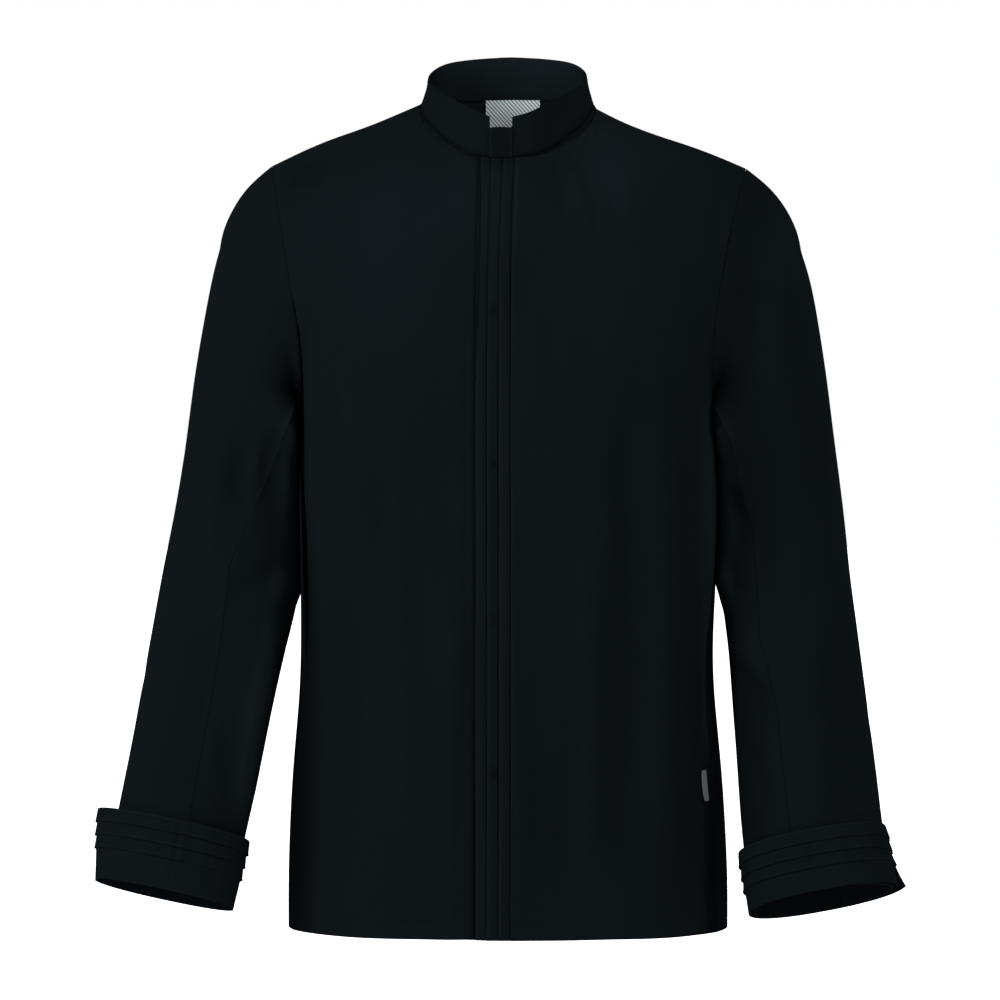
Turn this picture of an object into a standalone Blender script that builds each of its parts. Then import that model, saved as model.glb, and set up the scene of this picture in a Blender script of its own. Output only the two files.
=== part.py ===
"""Chef jacket, worn form without a wearer. Sizes in millimetres, mesh in metres.

Origin: centre of the neck base at the height of the shoulder-neck points.
+Z up, the front faces -Y, the wearer's left is +X.
"""
import math

import bpy
import numpy as np

MM = 0.001

# cloth and seams
CLOTH = 2.0
SEAM_GAP = 0.36
LAYER_GAP = 0.5

# levels
HEM_Z = -759.0
CHEST_Z = -275.0
SHOULDER_POINT = (221.0, 5.0, -56.0)

# front fastening band of the wearer's left front
BAND_EDGE = -21.4
BAND_END = 30.0
TUCK_EDGES = (-11.2, -0.6, 10.2)
TUCK_STEP = 0.3
TUCK_RISE = 1.9
BAND_EDGE_RISE = 0.9
TUCK_DIP = 0.35
TUCK_AT_NECK = 0.15
# columns of the wearer's right front, which lies one layer lower under the band
UNDER_COLUMNS = (-19.0, -2.0, 12.0, 22.0)
UNDER_FULL_X = 26.0

# how the worn jacket sits: the wearer's right shoulder is higher than the left one
RIGHT_RISE = 3.6
LEFT_DROP = 3.0
SETTLE_FROM = 55.0
SETTLE_SPREAD = 45.0
LEFT_FADE_FROM = 150.0
LEFT_FADE_SPREAD = 90.0
SETTLE_LOW_Z = -260.0
SETTLE_FULL_Z = -120.0
SETTLE_TOP_Z = 25.0

# grid counts
BODY_ROWS = 11
YOKE_ROWS = 12
NECK_COLUMNS = 5
SHOULDER_COLUMNS = 7
FRONT_SEAM_AT = 10
BACK_SEAM_AT = 18

# body rings: half width, front depth, back depth, sideways shift, squareness
BODY = {
    "z": (-759, -717, -680, -640, -600, -560, -520, -480, -440, -380, -320, -275),
    "half": (204.6, 204.8, 203.5, 201.6, 198.8, 194.4, 191.6, 192.0, 193.6, 194.0, 193.6, 193.0),
    "front": (148, 147, 146, 144, 142, 140, 139, 139, 140, 142, 144, 144),
    "back": (138, 136, 134, 131, 128, 124, 121, 119, 119, 121, 125, 127),
    "shift": (0.0, 0.0, -0.3, -0.6, -0.8, -1.0, -1.2, -1.0, 0.3, 0.5, 0.3, 0.0),
    "square": (2.35, 2.35, 2.35, 2.35, 2.35, 2.35, 2.35, 2.35, 2.35, 2.4, 2.5, 2.65),
}
# side seam: degrees forward of the widest point
SIDE_SEAM = {
    "z": (-759, -640, -500, -380, -275),
    "angle": (17.0, 17.0, 15.0, 8.0, 2.4),
}
# centre front and centre back lines above the chest ring
CENTRE_FRONT = {
    "z": (-275, -235, -195, -155, -120, -90, -68, -52),
    "y": (-144, -143, -139, -130, -117, -101, -86, -74),
}
CENTRE_BACK = {
    "z": (-275, -225, -175, -125, -80, -40, -10, 13),
    "y": (127, 129, 126, 118, 105, 88, 71, 58),
}
# armhole curves from the underarm to the shoulder point
ARMHOLE_FRONT = {
    "t": (0.0, 0.14, 0.28, 0.43, 0.57, 0.72, 0.87, 1.0),
    "x": (193.0, 191.6, 190.2, 192.0, 197.6, 205.0, 213.0, 221.0),
    "y": (-8.0, -36.0, -55.0, -65.0, -65.0, -57.0, -36.0, 5.0),
    "z": (-275.0, -263.0, -238.0, -202.0, -163.0, -123.0, -86.0, -56.0),
}
ARMHOLE_BACK = {
    "t": (0.0, 0.14, 0.28, 0.43, 0.57, 0.72, 0.87, 1.0),
    "x": (193.0, 190.6, 188.0, 189.4, 195.4, 204.0, 213.4, 221.0),
    "y": (-8.0, 32.0, 54.0, 67.0, 70.0, 62.0, 41.0, 5.0),
    "z": (-275.0, -264.0, -240.0, -202.0, -160.0, -119.0, -83.0, -56.0),
}
# neck seam round half the neck: 0 is the centre front, 90 the shoulder seam, 180 the centre back
NECK = {
    "angle": (0, 18, 31, 42, 53, 69, 90, 110, 140, 180),
    "z": (-52.0, -50.5, -46.4, -39.6, -31.0, -16.5, 1.0, 6.5, 11.0, 13.0),
}
NECK_HALF = 82.5
NECK_FRONT = 70.0
NECK_BACK = 62.0
NECK_CENTRE_Y = -4.0
# shoulder seam from the neck to the sleeve head: share of its length and height
RIDGE = {
    "t": (0.0, 0.12, 0.33, 0.65, 0.88, 1.0),
    "z": (1.0, -7.0, -19.0, -34.0, -48.0, -56.0),
}
# stand collar's top edge
COLLAR_TOP = {
    "angle": (0, 9, 22, 46, 60, 74, 90, 108, 124, 150, 180),
    "z": (-14.0, -13.0, -7.0, 7.5, 14.5, 20.5, 27.5, 36.0, 43.5, 49.5, 52.5),
}
COLLAR_HALF = 74.6
COLLAR_FRONT = 57.0
COLLAR_BACK = 57.0
COLLAR_CENTRE_Y = -11.0
# the notch at the front: the collar's two ends and the tab between them
COLLAR_END_LEFT_X = 7.4
COLLAR_END_RIGHT_X = -13.8
COLLAR_ROWS = 4
COLLAR_BOW = 1.5
TAB_CENTRE = -3.2
TAB_HALF = 9.6
TAB_HEIGHT = 28.0
TAB_CORNER = 1.2
TAB_SET_BACK = 0.6
TAB_LEAN = 0.06

# woven label inside the back of the neck
LABEL_HALF = 25.5
LABEL_DROP = 25.0
LABEL_SHIFT = 2.0
LABEL_CLEARANCE = 1.6
LABEL_LEAN = 0.16
LABEL_THICK = 1.0

# small tape label in the wearer's left side seam
FLAG_TOP = -613.0
FLAG_HEIGHT = 28.0
FLAG_WIDTH = 11.0
FLAG_THICK = 1.0
FLAG_CLEARANCE = 0.6
FLAG_RISE = 1.5
FLAG_TURN = 2.0
FLAG_START = 0.5

# control points that round the neck corner of the panels away lower down
SOFT_CORNER_FRONT = (92.0, -30.0, -20.0)
SOFT_CORNER_BACK = (86.0, 34.0, 4.0)
PANEL_WIDTH = 245.0

# sleeve rings: outer point, inner point and forward tilt of each side, then what both sides
# share: heights, depth centre, half depth and share of round form
SLEEVE_RIGHT = {
    "out_x": (221, 245, 261, 273, 280.2, 288, 295.5, 301.5,
              308.5, 316, 323, 328.5, 335, 341.5, 348.5, 355),
    "in_x": (193, 196.6, 196.2, 195.2, 194.6, 194.2, 193.9, 193.7,
             193.7, 193.9, 196.0, 203.5, 214.5, 222, 230, 238),
    "tilt": (0, 0, 0, 0, 0, 0, 0, 0.04, 0.12, 0.18, 0.22, 0.23, 0.23, 0.23, 0.23, 0.23),
}
SLEEVE_LEFT = {
    "out_x": (221, 245.5, 263, 274.5, 283.5, 290, 296.5, 302,
              308.5, 314, 317, 322.5, 328.5, 335, 340.5, 344.5),
    "in_x": (193, 196.6, 196.2, 195.2, 194.6, 194.2, 193.9, 193.7,
             193.7, 193.9, 195.6, 201.5, 206, 209.5, 213.5, 217.5),
    "tilt": (0, 0, 0, 0, 0, 0, 0, 0.04, 0.12, 0.18, 0.22, 0.23, 0.24, 0.27, 0.30, 0.33),
}
SLEEVE_BOTH = {
    "out_z": (-56, -75, -100, -130, -160, -203, -248, -296,
              -345, -392, -432, -474, -525, -575, -620, -664),
    "in_z": (-275, -273.5, -279, -288, -298, -312, -330, -352,
             -382, -418, -455, -497, -548, -598, -643, -688),
    "mid_y": (0, 0, 1, 4, 9, 16, 22, 26, 26, 19, 6, -12, -35, -55, -74, -90),
    "deep": (74, 72, 72, 73, 75, 77, 75, 71, 66, 61, 57, 54, 50, 47, 44, 42),
    "round": (0, 0.08, 0.2, 0.35, 0.5, 0.7, 0.88, 1, 1, 1, 1, 1, 1, 1, 1, 1),
}
SLEEVE_SQUARE = 2.25
# where the two long sleeve seams lie round the lower sleeve, in degrees from the outer side
FRONT_SEAM_LOW = 96.0
BACK_SEAM_LOW = 286.0
# the sleeve runs on down inside its cuff to the turn: how far, in how many rings
SLEEVE_END = {"left": 52.5, "right": 50.0}
END_RINGS = 2
CUFF_HEIGHT = {"left": 56.5, "right": 64.0}
# how late the cuff's stand-off grows towards its foot
CUFF_FOOT_POWER = {"left": 3.0, "right": 1.0}
CUFF_TUCKS = (12.8, 24.7, 36.3)
CUFF_RISE = 1.7
CUFF_COLUMNS = 36
CUFF_SLIT = 9.0

# soft folds of the body wall: x where it starts and ends, z of both ends, half width, depth outward
BODY_FOLDS = {
    "front": (
        (-172.0, -176.0, -250.0, -560.0, 20.0, 6.0),
        (-196.0, -197.0, -300.0, -560.0, 16.0, -5.0),
        (-118.0, -128.0, -420.0, -759.0, 26.0, 3.5),
        (-74.0, -66.0, -360.0, -759.0, 22.0, -3.0),
        (-34.0, -32.0, -420.0, -759.0, 16.0, -4.0),
        (92.0, 96.0, -470.0, -759.0, 26.0, -3.5),
        (150.0, 142.0, -400.0, -759.0, 26.0, 3.0),
        (58.0, 40.0, -60.0, -180.0, 16.0, 1.5),
    ),
    "back": (
        (-110.0, -128.0, -330.0, -759.0, 30.0, 4.0),
        (-52.0, -62.0, -400.0, -759.0, 26.0, -4.0),
        (20.0, 10.0, -360.0, -759.0, 28.0, 3.5),
        (76.0, 84.0, -420.0, -759.0, 26.0, -4.0),
        (134.0, 140.0, -340.0, -759.0, 30.0, 3.5),
    ),
}
# height over which a fold fades out at its panel's upper part
FOLD_FADE = 60.0
# folds of the sleeve wall: ring number, angle from the outer side, ring spread, angle spread, depth
SLEEVE_FOLDS = (
    (8.6, 150.0, 0.8, 40.0, -4.0),
    (9.5, 128.0, 0.7, 44.0, 3.0),
    (10.4, 150.0, 0.7, 42.0, -4.5),
    (11.6, 120.0, 0.8, 40.0, 2.5),
    (12.6, 160.0, 0.7, 36.0, -3.0),
    (13.6, 60.0, 0.7, 44.0, -2.5),
    (9.9, 260.0, 0.8, 50.0, 3.0),
    (10.9, 235.0, 0.7, 50.0, -3.5),
    (6.0, 135.0, 0.8, 30.0, -3.0),
)

CLOTH_ROUGHNESS = 0.85
COLOURS = {
    "cloth": (0.0060, 0.0085, 0.0095, 1.0),
    "label": (0.56, 0.62, 0.63, 1.0),
    "flag": (0.10, 0.11, 0.115, 1.0),
}


def table(rows, key, column, at):
    """Value of a table's column, smooth between its rows."""
    keys = np.array(rows[key], dtype=float)
    values = np.array(rows[column], dtype=float)
    if keys[0] > keys[-1]:
        keys = keys[::-1]
        values = values[::-1]
    slopes = np.gradient(values, keys)
    at = min(max(at, keys[0]), keys[-1])
    i = int(min(max(np.searchsorted(keys, at) - 1, 0), len(keys) - 2))
    span = keys[i + 1] - keys[i]
    t = (at - keys[i]) / span
    a = 2 * t ** 3 - 3 * t ** 2 + 1
    b = t ** 3 - 2 * t ** 2 + t
    c = -2 * t ** 3 + 3 * t ** 2
    d = t ** 3 - t ** 2
    return float(a * values[i] + b * span * slopes[i] + c * values[i + 1] + d * span * slopes[i + 1])


def unit(v):
    length = np.linalg.norm(v, axis=-1, keepdims=True)
    return v / np.maximum(length, 1e-9)


def smooth(t):
    t = np.clip(t, 0.0, 1.0)
    return t * t * (3.0 - 2.0 * t)


def settle(points):
    """Points of the whole jacket as it sits on uneven shoulders."""
    x, z = points[..., 0], points[..., 2]
    right = smooth((-x - SETTLE_FROM) / SETTLE_SPREAD)
    left = smooth((x - SETTLE_FROM) / SETTLE_SPREAD)
    left = left * (1.0 - smooth((x - LEFT_FADE_FROM) / LEFT_FADE_SPREAD))
    height = smooth((z - SETTLE_LOW_Z) / (SETTLE_FULL_Z - SETTLE_LOW_Z)) * (1.0 - smooth(z / SETTLE_TOP_Z))
    moved = points.copy()
    moved[..., 2] += (RIGHT_RISE * right - LEFT_DROP * left) * height
    return moved


# ---- body form ----------------------------------------------------------------------------

def ring_at_angle(z, angle, back):
    """Body ring point; the angle runs from the centre (90) to the widest point (0)."""
    half = table(BODY, "z", "half", z)
    deep = table(BODY, "z", "back" if back else "front", z)
    n = table(BODY, "z", "square", z)
    ca = math.cos(math.radians(angle))
    sa = abs(math.sin(math.radians(angle)))
    r = ((abs(ca) / half) ** n + (sa / deep) ** n) ** (-1.0 / n)
    y = r * sa
    return np.array((r * ca, y if back else -y, z))


def ring_normal(point, z):
    half = table(BODY, "z", "half", z)
    deep = table(BODY, "z", "back" if point[1] > 0 else "front", z)
    n = table(BODY, "z", "square", z)
    nx = math.copysign(abs(point[0]) ** (n - 1) / half ** n, point[0])
    ny = math.copysign(abs(point[1]) ** (n - 1) / deep ** n, point[1])
    return unit(np.array((nx, ny, 0.0)))


def angle_at_x(z, x, back):
    half = table(BODY, "z", "half", z)
    deep = table(BODY, "z", "back" if back else "front", z)
    n = table(BODY, "z", "square", z)
    y = deep * (1.0 - (abs(x) / half) ** n) ** (1.0 / n)
    return math.degrees(math.atan2(y, abs(x)))


def neck_point(angle):
    a = math.radians(angle)
    deep = NECK_FRONT if angle <= 90 else NECK_BACK
    return np.array((NECK_HALF * math.sin(a), NECK_CENTRE_Y - deep * math.cos(a),
                     table(NECK, "angle", "z", angle)))


def ridge_point(t):
    start = neck_point(90.0)
    x = start[0] + (SHOULDER_POINT[0] - start[0]) * t
    y = start[1] + (SHOULDER_POINT[1] - start[1]) * t
    return np.array((x, y, table(RIDGE, "t", "z", t)))


def ridge_normal(t):
    step = 0.02
    run = ridge_point(min(t + step, 1.0)) - ridge_point(max(t - step, 0.0))
    return unit(np.array((-run[2], 0.0, run[0])))


def seam_angle(z, back):
    """Side seam angle of the panel's own edge, half a seam gap away from the seam line."""
    half_gap = math.degrees(0.5 * SEAM_GAP / table(BODY, "z", "half", z))
    angle = table(SIDE_SEAM, "z", "angle", z)
    return -angle + half_gap if back else angle + half_gap


def column_angle(z, column, back):
    """Ring angle of a column; negative angles lie past the widest point, on the other half."""
    x, share = column
    edge = seam_angle(z, back)
    if x is not None:
        return angle_at_x(z, x, back)
    start = angle_at_x(z, BAND_END, back)
    return start + (edge - start) * share


def lower_point(z, column, back):
    angle = column_angle(z, column, back)
    if angle < 0.0:
        point = ring_at_angle(z, -angle, not back)
    else:
        point = ring_at_angle(z, angle, back)
    return point


def top_point(column, back):
    """End of a column on the neck seam or the shoulder seam."""
    x, share = column
    if x is not None:
        angle = math.degrees(math.asin(abs(x) / NECK_HALF))
        return neck_point(180.0 - angle if back else angle)
    neck_share = NECK_COLUMNS / (NECK_COLUMNS + SHOULDER_COLUMNS)
    start = math.degrees(math.asin(BAND_END / NECK_HALF))
    if share < neck_share - 1e-9:
        angle = start + (90.0 - start) * share / neck_share
        return neck_point(180.0 - angle if back else angle)
    t = max((share - neck_share) / (1.0 - neck_share), 0.0)
    shift = 0.5 * SEAM_GAP * (1.0 if back else -1.0)
    return ridge_point(t) + np.array((0.0, shift, 0.0))


def centre_point(v, back):
    rows = CENTRE_BACK if back else CENTRE_FRONT
    z = rows["z"][0] + (rows["z"][-1] - rows["z"][0]) * v
    return np.array((0.0, table(rows, "z", "y", z), z))


def armhole_point(v, back):
    rows = ARMHOLE_BACK if back else ARMHOLE_FRONT
    return np.array([table(rows, "t", axis, v) for axis in ("x", "y", "z")])


def soft_top(spread, back):
    """Top edge with the neck corner rounded away, which the panel follows lower down."""
    c_top = top_point((0.0, None), back)
    a_top = top_point((None, 1.0), back)
    t = spread
    bend = np.array(SOFT_CORNER_BACK if back else SOFT_CORNER_FRONT)
    return c_top * (1.0 - t) ** 2 + bend * 2.0 * t * (1.0 - t) + a_top * t * t


def upper_point(v, column, spread, back):
    """Coons patch between chest ring, top edge, centre line and armhole."""
    low = lower_point(CHEST_Z, column, back)
    top = top_point(column, back)
    soft = soft_top(spread, back)
    top = soft + (top - soft) * v ** 4
    c_low = lower_point(CHEST_Z, (0.0, None), back)
    c_top = top_point((0.0, None), back)
    a_low = lower_point(CHEST_Z, (None, 1.0), back)
    a_top = top_point((None, 1.0), back)
    centre = centre_point(v, back) - (c_low + (c_top - c_low) * v)
    arm = armhole_point(v, back)
    shift = 0.5 * SEAM_GAP * (1.0 if back else -1.0) * v
    arm = arm + np.array((0.0, shift, 0.0)) - (a_low + (a_top - a_low) * v)
    arm = arm * (1.0 if v > 0.0 else 0.0)
    w = smooth(spread)
    return low + (top - low) * v + centre * (1.0 - w) + arm * w


def column_spread(column, back):
    x, share = column
    if x is not None:
        return abs(x) / PANEL_WIDTH
    return BAND_END / PANEL_WIDTH + (1.0 - BAND_END / PANEL_WIDTH) * share


def fold_offset(side, x, z):
    total = 0.0
    for x0, x1, z0, z1, width, depth in BODY_FOLDS[side]:
        along = (z - z0) / (z1 - z0)
        centre = x0 + (x1 - x0) * min(max(along, 0.0), 1.0)
        rise = smooth(along / 0.35) if z1 <= HEM_Z else smooth(along / 0.35) * smooth((1.0 - along) / 0.35)
        total += depth * rise * math.exp(-((x - centre) / width) ** 2)
    return total


def body_grid(columns, back):
    """Plain outer points and outward normals of one panel: rows upward, columns as given."""
    levels = [HEM_Z + (CHEST_Z - HEM_Z) * i / BODY_ROWS for i in range(BODY_ROWS)]
    count = BODY_ROWS + YOKE_ROWS + 1
    points = np.zeros((count, len(columns), 3))
    normals = np.zeros((count, len(columns), 3))
    for j, (sign, column) in enumerate(columns):
        flip = np.array((sign, 1.0, 1.0))
        spread = column_spread(column, back)
        for i in range(count):
            if i < BODY_ROWS:
                z = levels[i]
                p = lower_point(z, column, back)
                normals[i, j] = ring_normal(p, z) * flip
                points[i, j] = p * flip
                points[i, j, 0] += table(BODY, "z", "shift", z)
            else:
                v = (i - BODY_ROWS) / YOKE_ROWS
                p = upper_point(v, column, spread, back)
                points[i, j] = p * flip
                if i == BODY_ROWS:
                    normals[i, j] = ring_normal(p, CHEST_Z) * flip
    across = np.gradient(points, axis=1)
    upward = np.gradient(points, axis=0)
    numeric = unit(np.cross(across, upward))
    centre = np.array((0.0, 0.0, -200.0))
    facing = np.sum(numeric * (points - centre), axis=2, keepdims=True)
    numeric = numeric * np.where(facing < 0.0, -1.0, 1.0)
    for i in range(BODY_ROWS + 1, count):
        share = smooth((i - BODY_ROWS) / 3.0)
        for j in range(len(columns)):
            normals[i, j] = unit(normals[BODY_ROWS, j] * (1.0 - share) + numeric[i, j] * share)
    for j, (sign, column) in enumerate(columns):
        share = column[1]
        neck_share = NECK_COLUMNS / (NECK_COLUMNS + SHOULDER_COLUMNS)
        if column[0] is None and share >= neck_share - 1e-9:
            t = (share - neck_share) / (1.0 - neck_share)
            normals[-1, j] = ridge_normal(t) * np.array((sign, 1.0, 1.0))
    side = "back" if back else "front"
    for i in range(count):
        for j in range(len(columns)):
            p = points[i, j]
            upper = CHEST_Z + FOLD_FADE if back else -FOLD_FADE
            edge = smooth((upper - p[2]) / FOLD_FADE)
            arm = 1.0
            if i > BODY_ROWS - 3:
                arm = smooth((1.0 - column_spread(columns[j][1], back)) / 0.25)
            seam = smooth((1.0 - column_spread(columns[j][1], back)) / 0.12)
            amount = fold_offset(side, p[0], p[2]) * edge * arm * seam
            points[i, j] = p + normals[i, j] * amount
    return points, normals


# ---- mesh building ------------------------------------------------------------------------

def add_solid(name, outer, inner, colour):
    """Closed wall between two grids of points."""
    rows, cols = outer.shape[:2]
    points = settle(np.concatenate((outer.reshape(-1, 3), inner.reshape(-1, 3)))) * MM
    size = rows * cols
    faces = []
    for i in range(rows - 1):
        for j in range(cols - 1):
            a = i * cols + j
            b = a + 1
            c = b + cols
            d = a + cols
            faces.append((a, b, c, d))
            faces.append((d + size, c + size, b + size, a + size))
    top = (rows - 1) * cols
    for j in range(cols - 1):
        faces.append((j + 1, j, j + size, j + 1 + size))
        faces.append((top + j, top + j + 1, top + j + 1 + size, top + j + size))
    for i in range(rows - 1):
        a = i * cols
        b = (i + 1) * cols
        # both sides of a seam split their end faces the same way
        faces.append((a, b, b + size))
        faces.append((a, b + size, a + size))
        c = a + cols - 1
        d = b + cols - 1
        faces.append((d, c, d + size))
        faces.append((c, c + size, d + size))
    mesh = bpy.data.meshes.new(name)
    mesh.from_pydata([tuple(p) for p in points], [], faces)
    mesh.validate()
    part = bpy.data.objects.new(name, mesh)
    bpy.context.scene.collection.objects.link(part)
    material = bpy.data.materials.new(name + "_material")
    material.use_nodes = True
    shader = material.node_tree.nodes["Principled BSDF"]
    shader.inputs["Base Color"].default_value = COLOURS[colour]
    shader.inputs["Roughness"].default_value = CLOTH_ROUGHNESS
    mesh.materials.append(material)
    bpy.context.view_layer.objects.active = part
    part.select_set(True)
    bpy.ops.object.mode_set(mode="EDIT")
    bpy.ops.mesh.select_all(action="SELECT")
    bpy.ops.mesh.normals_make_consistent(inside=False)
    bpy.ops.object.mode_set(mode="OBJECT")
    part.select_set(False)


for old in list(bpy.data.objects):
    bpy.data.objects.remove(old, do_unlink=True)

# ---- fronts and back ----------------------------------------------------------------------

side_columns = [(None, (k + 1) / (NECK_COLUMNS + SHOULDER_COLUMNS))
                for k in range(NECK_COLUMNS + SHOULDER_COLUMNS)]


def centred(x):
    return (1.0 if x >= 0.0 else -1.0, (abs(x), None))


def tuck_offset(x):
    """Sawtooth of the pressed tucks: a fold edge stands up and falls away to the next one."""
    edges = (BAND_EDGE,) + TUCK_EDGES + (BAND_END,)
    for start, end in zip(edges, edges[1:]):
        if start <= x < end:
            peak = TUCK_RISE if start != BAND_EDGE else BAND_EDGE_RISE
            low = TUCK_DIP if end != BAND_END else 0.0
            t = (x - start) / (end - TUCK_STEP - start)
            return peak + (low - peak) * min(t, 1.0)
    return 0.0


band_x = [BAND_EDGE]
for edge in TUCK_EDGES:
    band_x.extend((edge - TUCK_STEP, edge))
band_x.append(BAND_END)
left_columns = [centred(x) for x in band_x] + [(1.0, c) for c in side_columns]
left_outer, left_normals = body_grid(left_columns, back=False)
left_inner = left_outer - left_normals * CLOTH
raised = left_outer.copy()
for j, x in enumerate(band_x):
    raised[:, j] = left_outer[:, j] + left_normals[:, j] * tuck_offset(x)
    # the tucks are caught flat in the neck seam
    raised[-1, j] = left_outer[-1, j] + left_normals[-1, j] * tuck_offset(x) * TUCK_AT_NECK
add_solid("front_left", raised, left_inner, "cloth")

under_x = list(UNDER_COLUMNS) + [BAND_END]
right_columns = [(-s, c) for s, c in [centred(x) for x in under_x]]
right_columns = right_columns + [(-1.0, c) for c in side_columns]
right_plain, right_normals = body_grid(right_columns, back=False)
right_outer = right_plain.copy()
for j in range(len(right_columns)):
    if j < len(under_x):
        share = 1.0 if under_x[j] < UNDER_FULL_X else 0.5
        right_outer[:, j] -= right_normals[:, j] * (CLOTH + LAYER_GAP) * share
right_inner = right_outer - right_normals * CLOTH
add_solid("front_right", right_outer, right_inner, "cloth")

back_columns = [(-1.0, c) for c in reversed(side_columns)]
back_columns += [(-1.0, (BAND_END, None)), (-1.0, (BAND_END / 2, None)), (1.0, (0.0, None))]
back_columns += [(1.0, (BAND_END / 2, None)), (1.0, (BAND_END, None))]
back_columns += [(1.0, c) for c in side_columns]
back_outer, back_normals = body_grid(back_columns, back=True)
back_inner = back_outer - back_normals * CLOTH
add_solid("back", back_outer, back_inner, "cloth")

# ---- sleeves ------------------------------------------------------------------------------


def armhole_ring(sign):
    """Body edge points and normals round the armhole: shoulder, front, underarm, back."""
    first = BODY_ROWS
    if sign > 0:
        front, front_n = left_outer[first:, -1], left_normals[first:, -1]
        back, back_n = back_outer[first:, -1], back_normals[first:, -1]
    else:
        front, front_n = right_outer[first:, -1], right_normals[first:, -1]
        back, back_n = back_outer[first:, 0], back_normals[first:, 0]
    flip = np.array((sign, 1.0, 1.0))
    ring = [0.5 * (front[-1] + back[-1])] + [front[i] for i in range(YOKE_ROWS - 1, 0, -1)]
    ring += [0.5 * (front[0] + back[0])] + [back[i] for i in range(1, YOKE_ROWS)]
    norm = [front_n[-1]] + [front_n[i] for i in range(YOKE_ROWS - 1, 0, -1)]
    norm += [unit(front_n[0] + back_n[0])] + [back_n[i] for i in range(1, YOKE_ROWS)]
    return np.array(ring) * flip, unit(np.array(norm) * flip)


def ring_angles(ring, last):
    """Angle of each ring point from the outer side; the seams swing round down the sleeve."""
    count = 2 * YOKE_ROWS
    t = smooth(ring / last)
    front_top = 180.0 * FRONT_SEAM_AT / YOKE_ROWS
    back_top = 180.0 * BACK_SEAM_AT / YOKE_ROWS
    front = front_top + (FRONT_SEAM_LOW - front_top) * t
    back = back_top + (BACK_SEAM_LOW - back_top) * t
    return [np.interp(k, (0, FRONT_SEAM_AT, BACK_SEAM_AT, count), (0.0, front, back, 360.0))
            for k in range(count)]


def sleeve_frame(rows, i):
    middle = SLEEVE_BOTH["mid_y"][i]
    out = np.array((rows["out_x"][i], middle, SLEEVE_BOTH["out_z"][i]), dtype=float)
    inn = np.array((rows["in_x"][i], middle, SLEEVE_BOTH["in_z"][i]), dtype=float)
    chord = unit(out - inn)
    deep = unit(np.array((0.0, -1.0, rows["tilt"][i])))
    return out, inn, chord, deep


def sleeve_ring(rows, i, angles, loop):
    out, inn, chord, deep = sleeve_frame(rows, i)
    centre = 0.5 * (out + inn)
    half = 0.5 * np.linalg.norm(out - inn)
    depth = SLEEVE_BOTH["deep"][i]
    m = smooth(SLEEVE_BOTH["round"][i])
    points = []
    for k, angle in enumerate(angles):
        a = math.radians(angle)
        ca, sa = math.cos(a), math.sin(a)
        r = (abs(ca) ** SLEEVE_SQUARE + abs(sa) ** SLEEVE_SQUARE) ** (-1.0 / SLEEVE_SQUARE)
        s, d, e = loop[k]
        s = s * (1.0 - m) + ca * r * m
        d = (d * (1.0 - m)) * depth / SLEEVE_BOTH["deep"][0] + sa * r * m * depth
        across = np.cross(chord, np.array((0.0, -1.0, 0.0)))
        points.append(centre + chord * half * s + deep * d + across * e * (1.0 - m))
    return np.array(points)


def loop_shape(ring):
    """The armhole ring in the frame of its own chord: along, forward, out of plane."""
    out = ring[0]
    inn = ring[YOKE_ROWS]
    chord = unit(out - inn)
    half = 0.5 * np.linalg.norm(out - inn)
    centre = 0.5 * (out + inn)
    across = np.cross(chord, np.array((0.0, -1.0, 0.0)))
    return [(float(np.dot(p - centre, chord)) / half, float(-(p[1] - centre[1])),
             float(np.dot(p - centre, across))) for p in ring]


def tube_normals(grid):
    """Outward normals of a closed tube whose rows run down its length."""
    along = np.gradient(grid, axis=0)
    around = np.roll(grid, -1, axis=1) - np.roll(grid, 1, axis=1)
    normals = unit(np.cross(along, around))
    centre = grid.mean(axis=1, keepdims=True)
    facing = np.sum(normals * (grid - centre), axis=(1, 2), keepdims=True)
    return normals * np.where(facing < 0.0, -1.0, 1.0)


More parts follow.
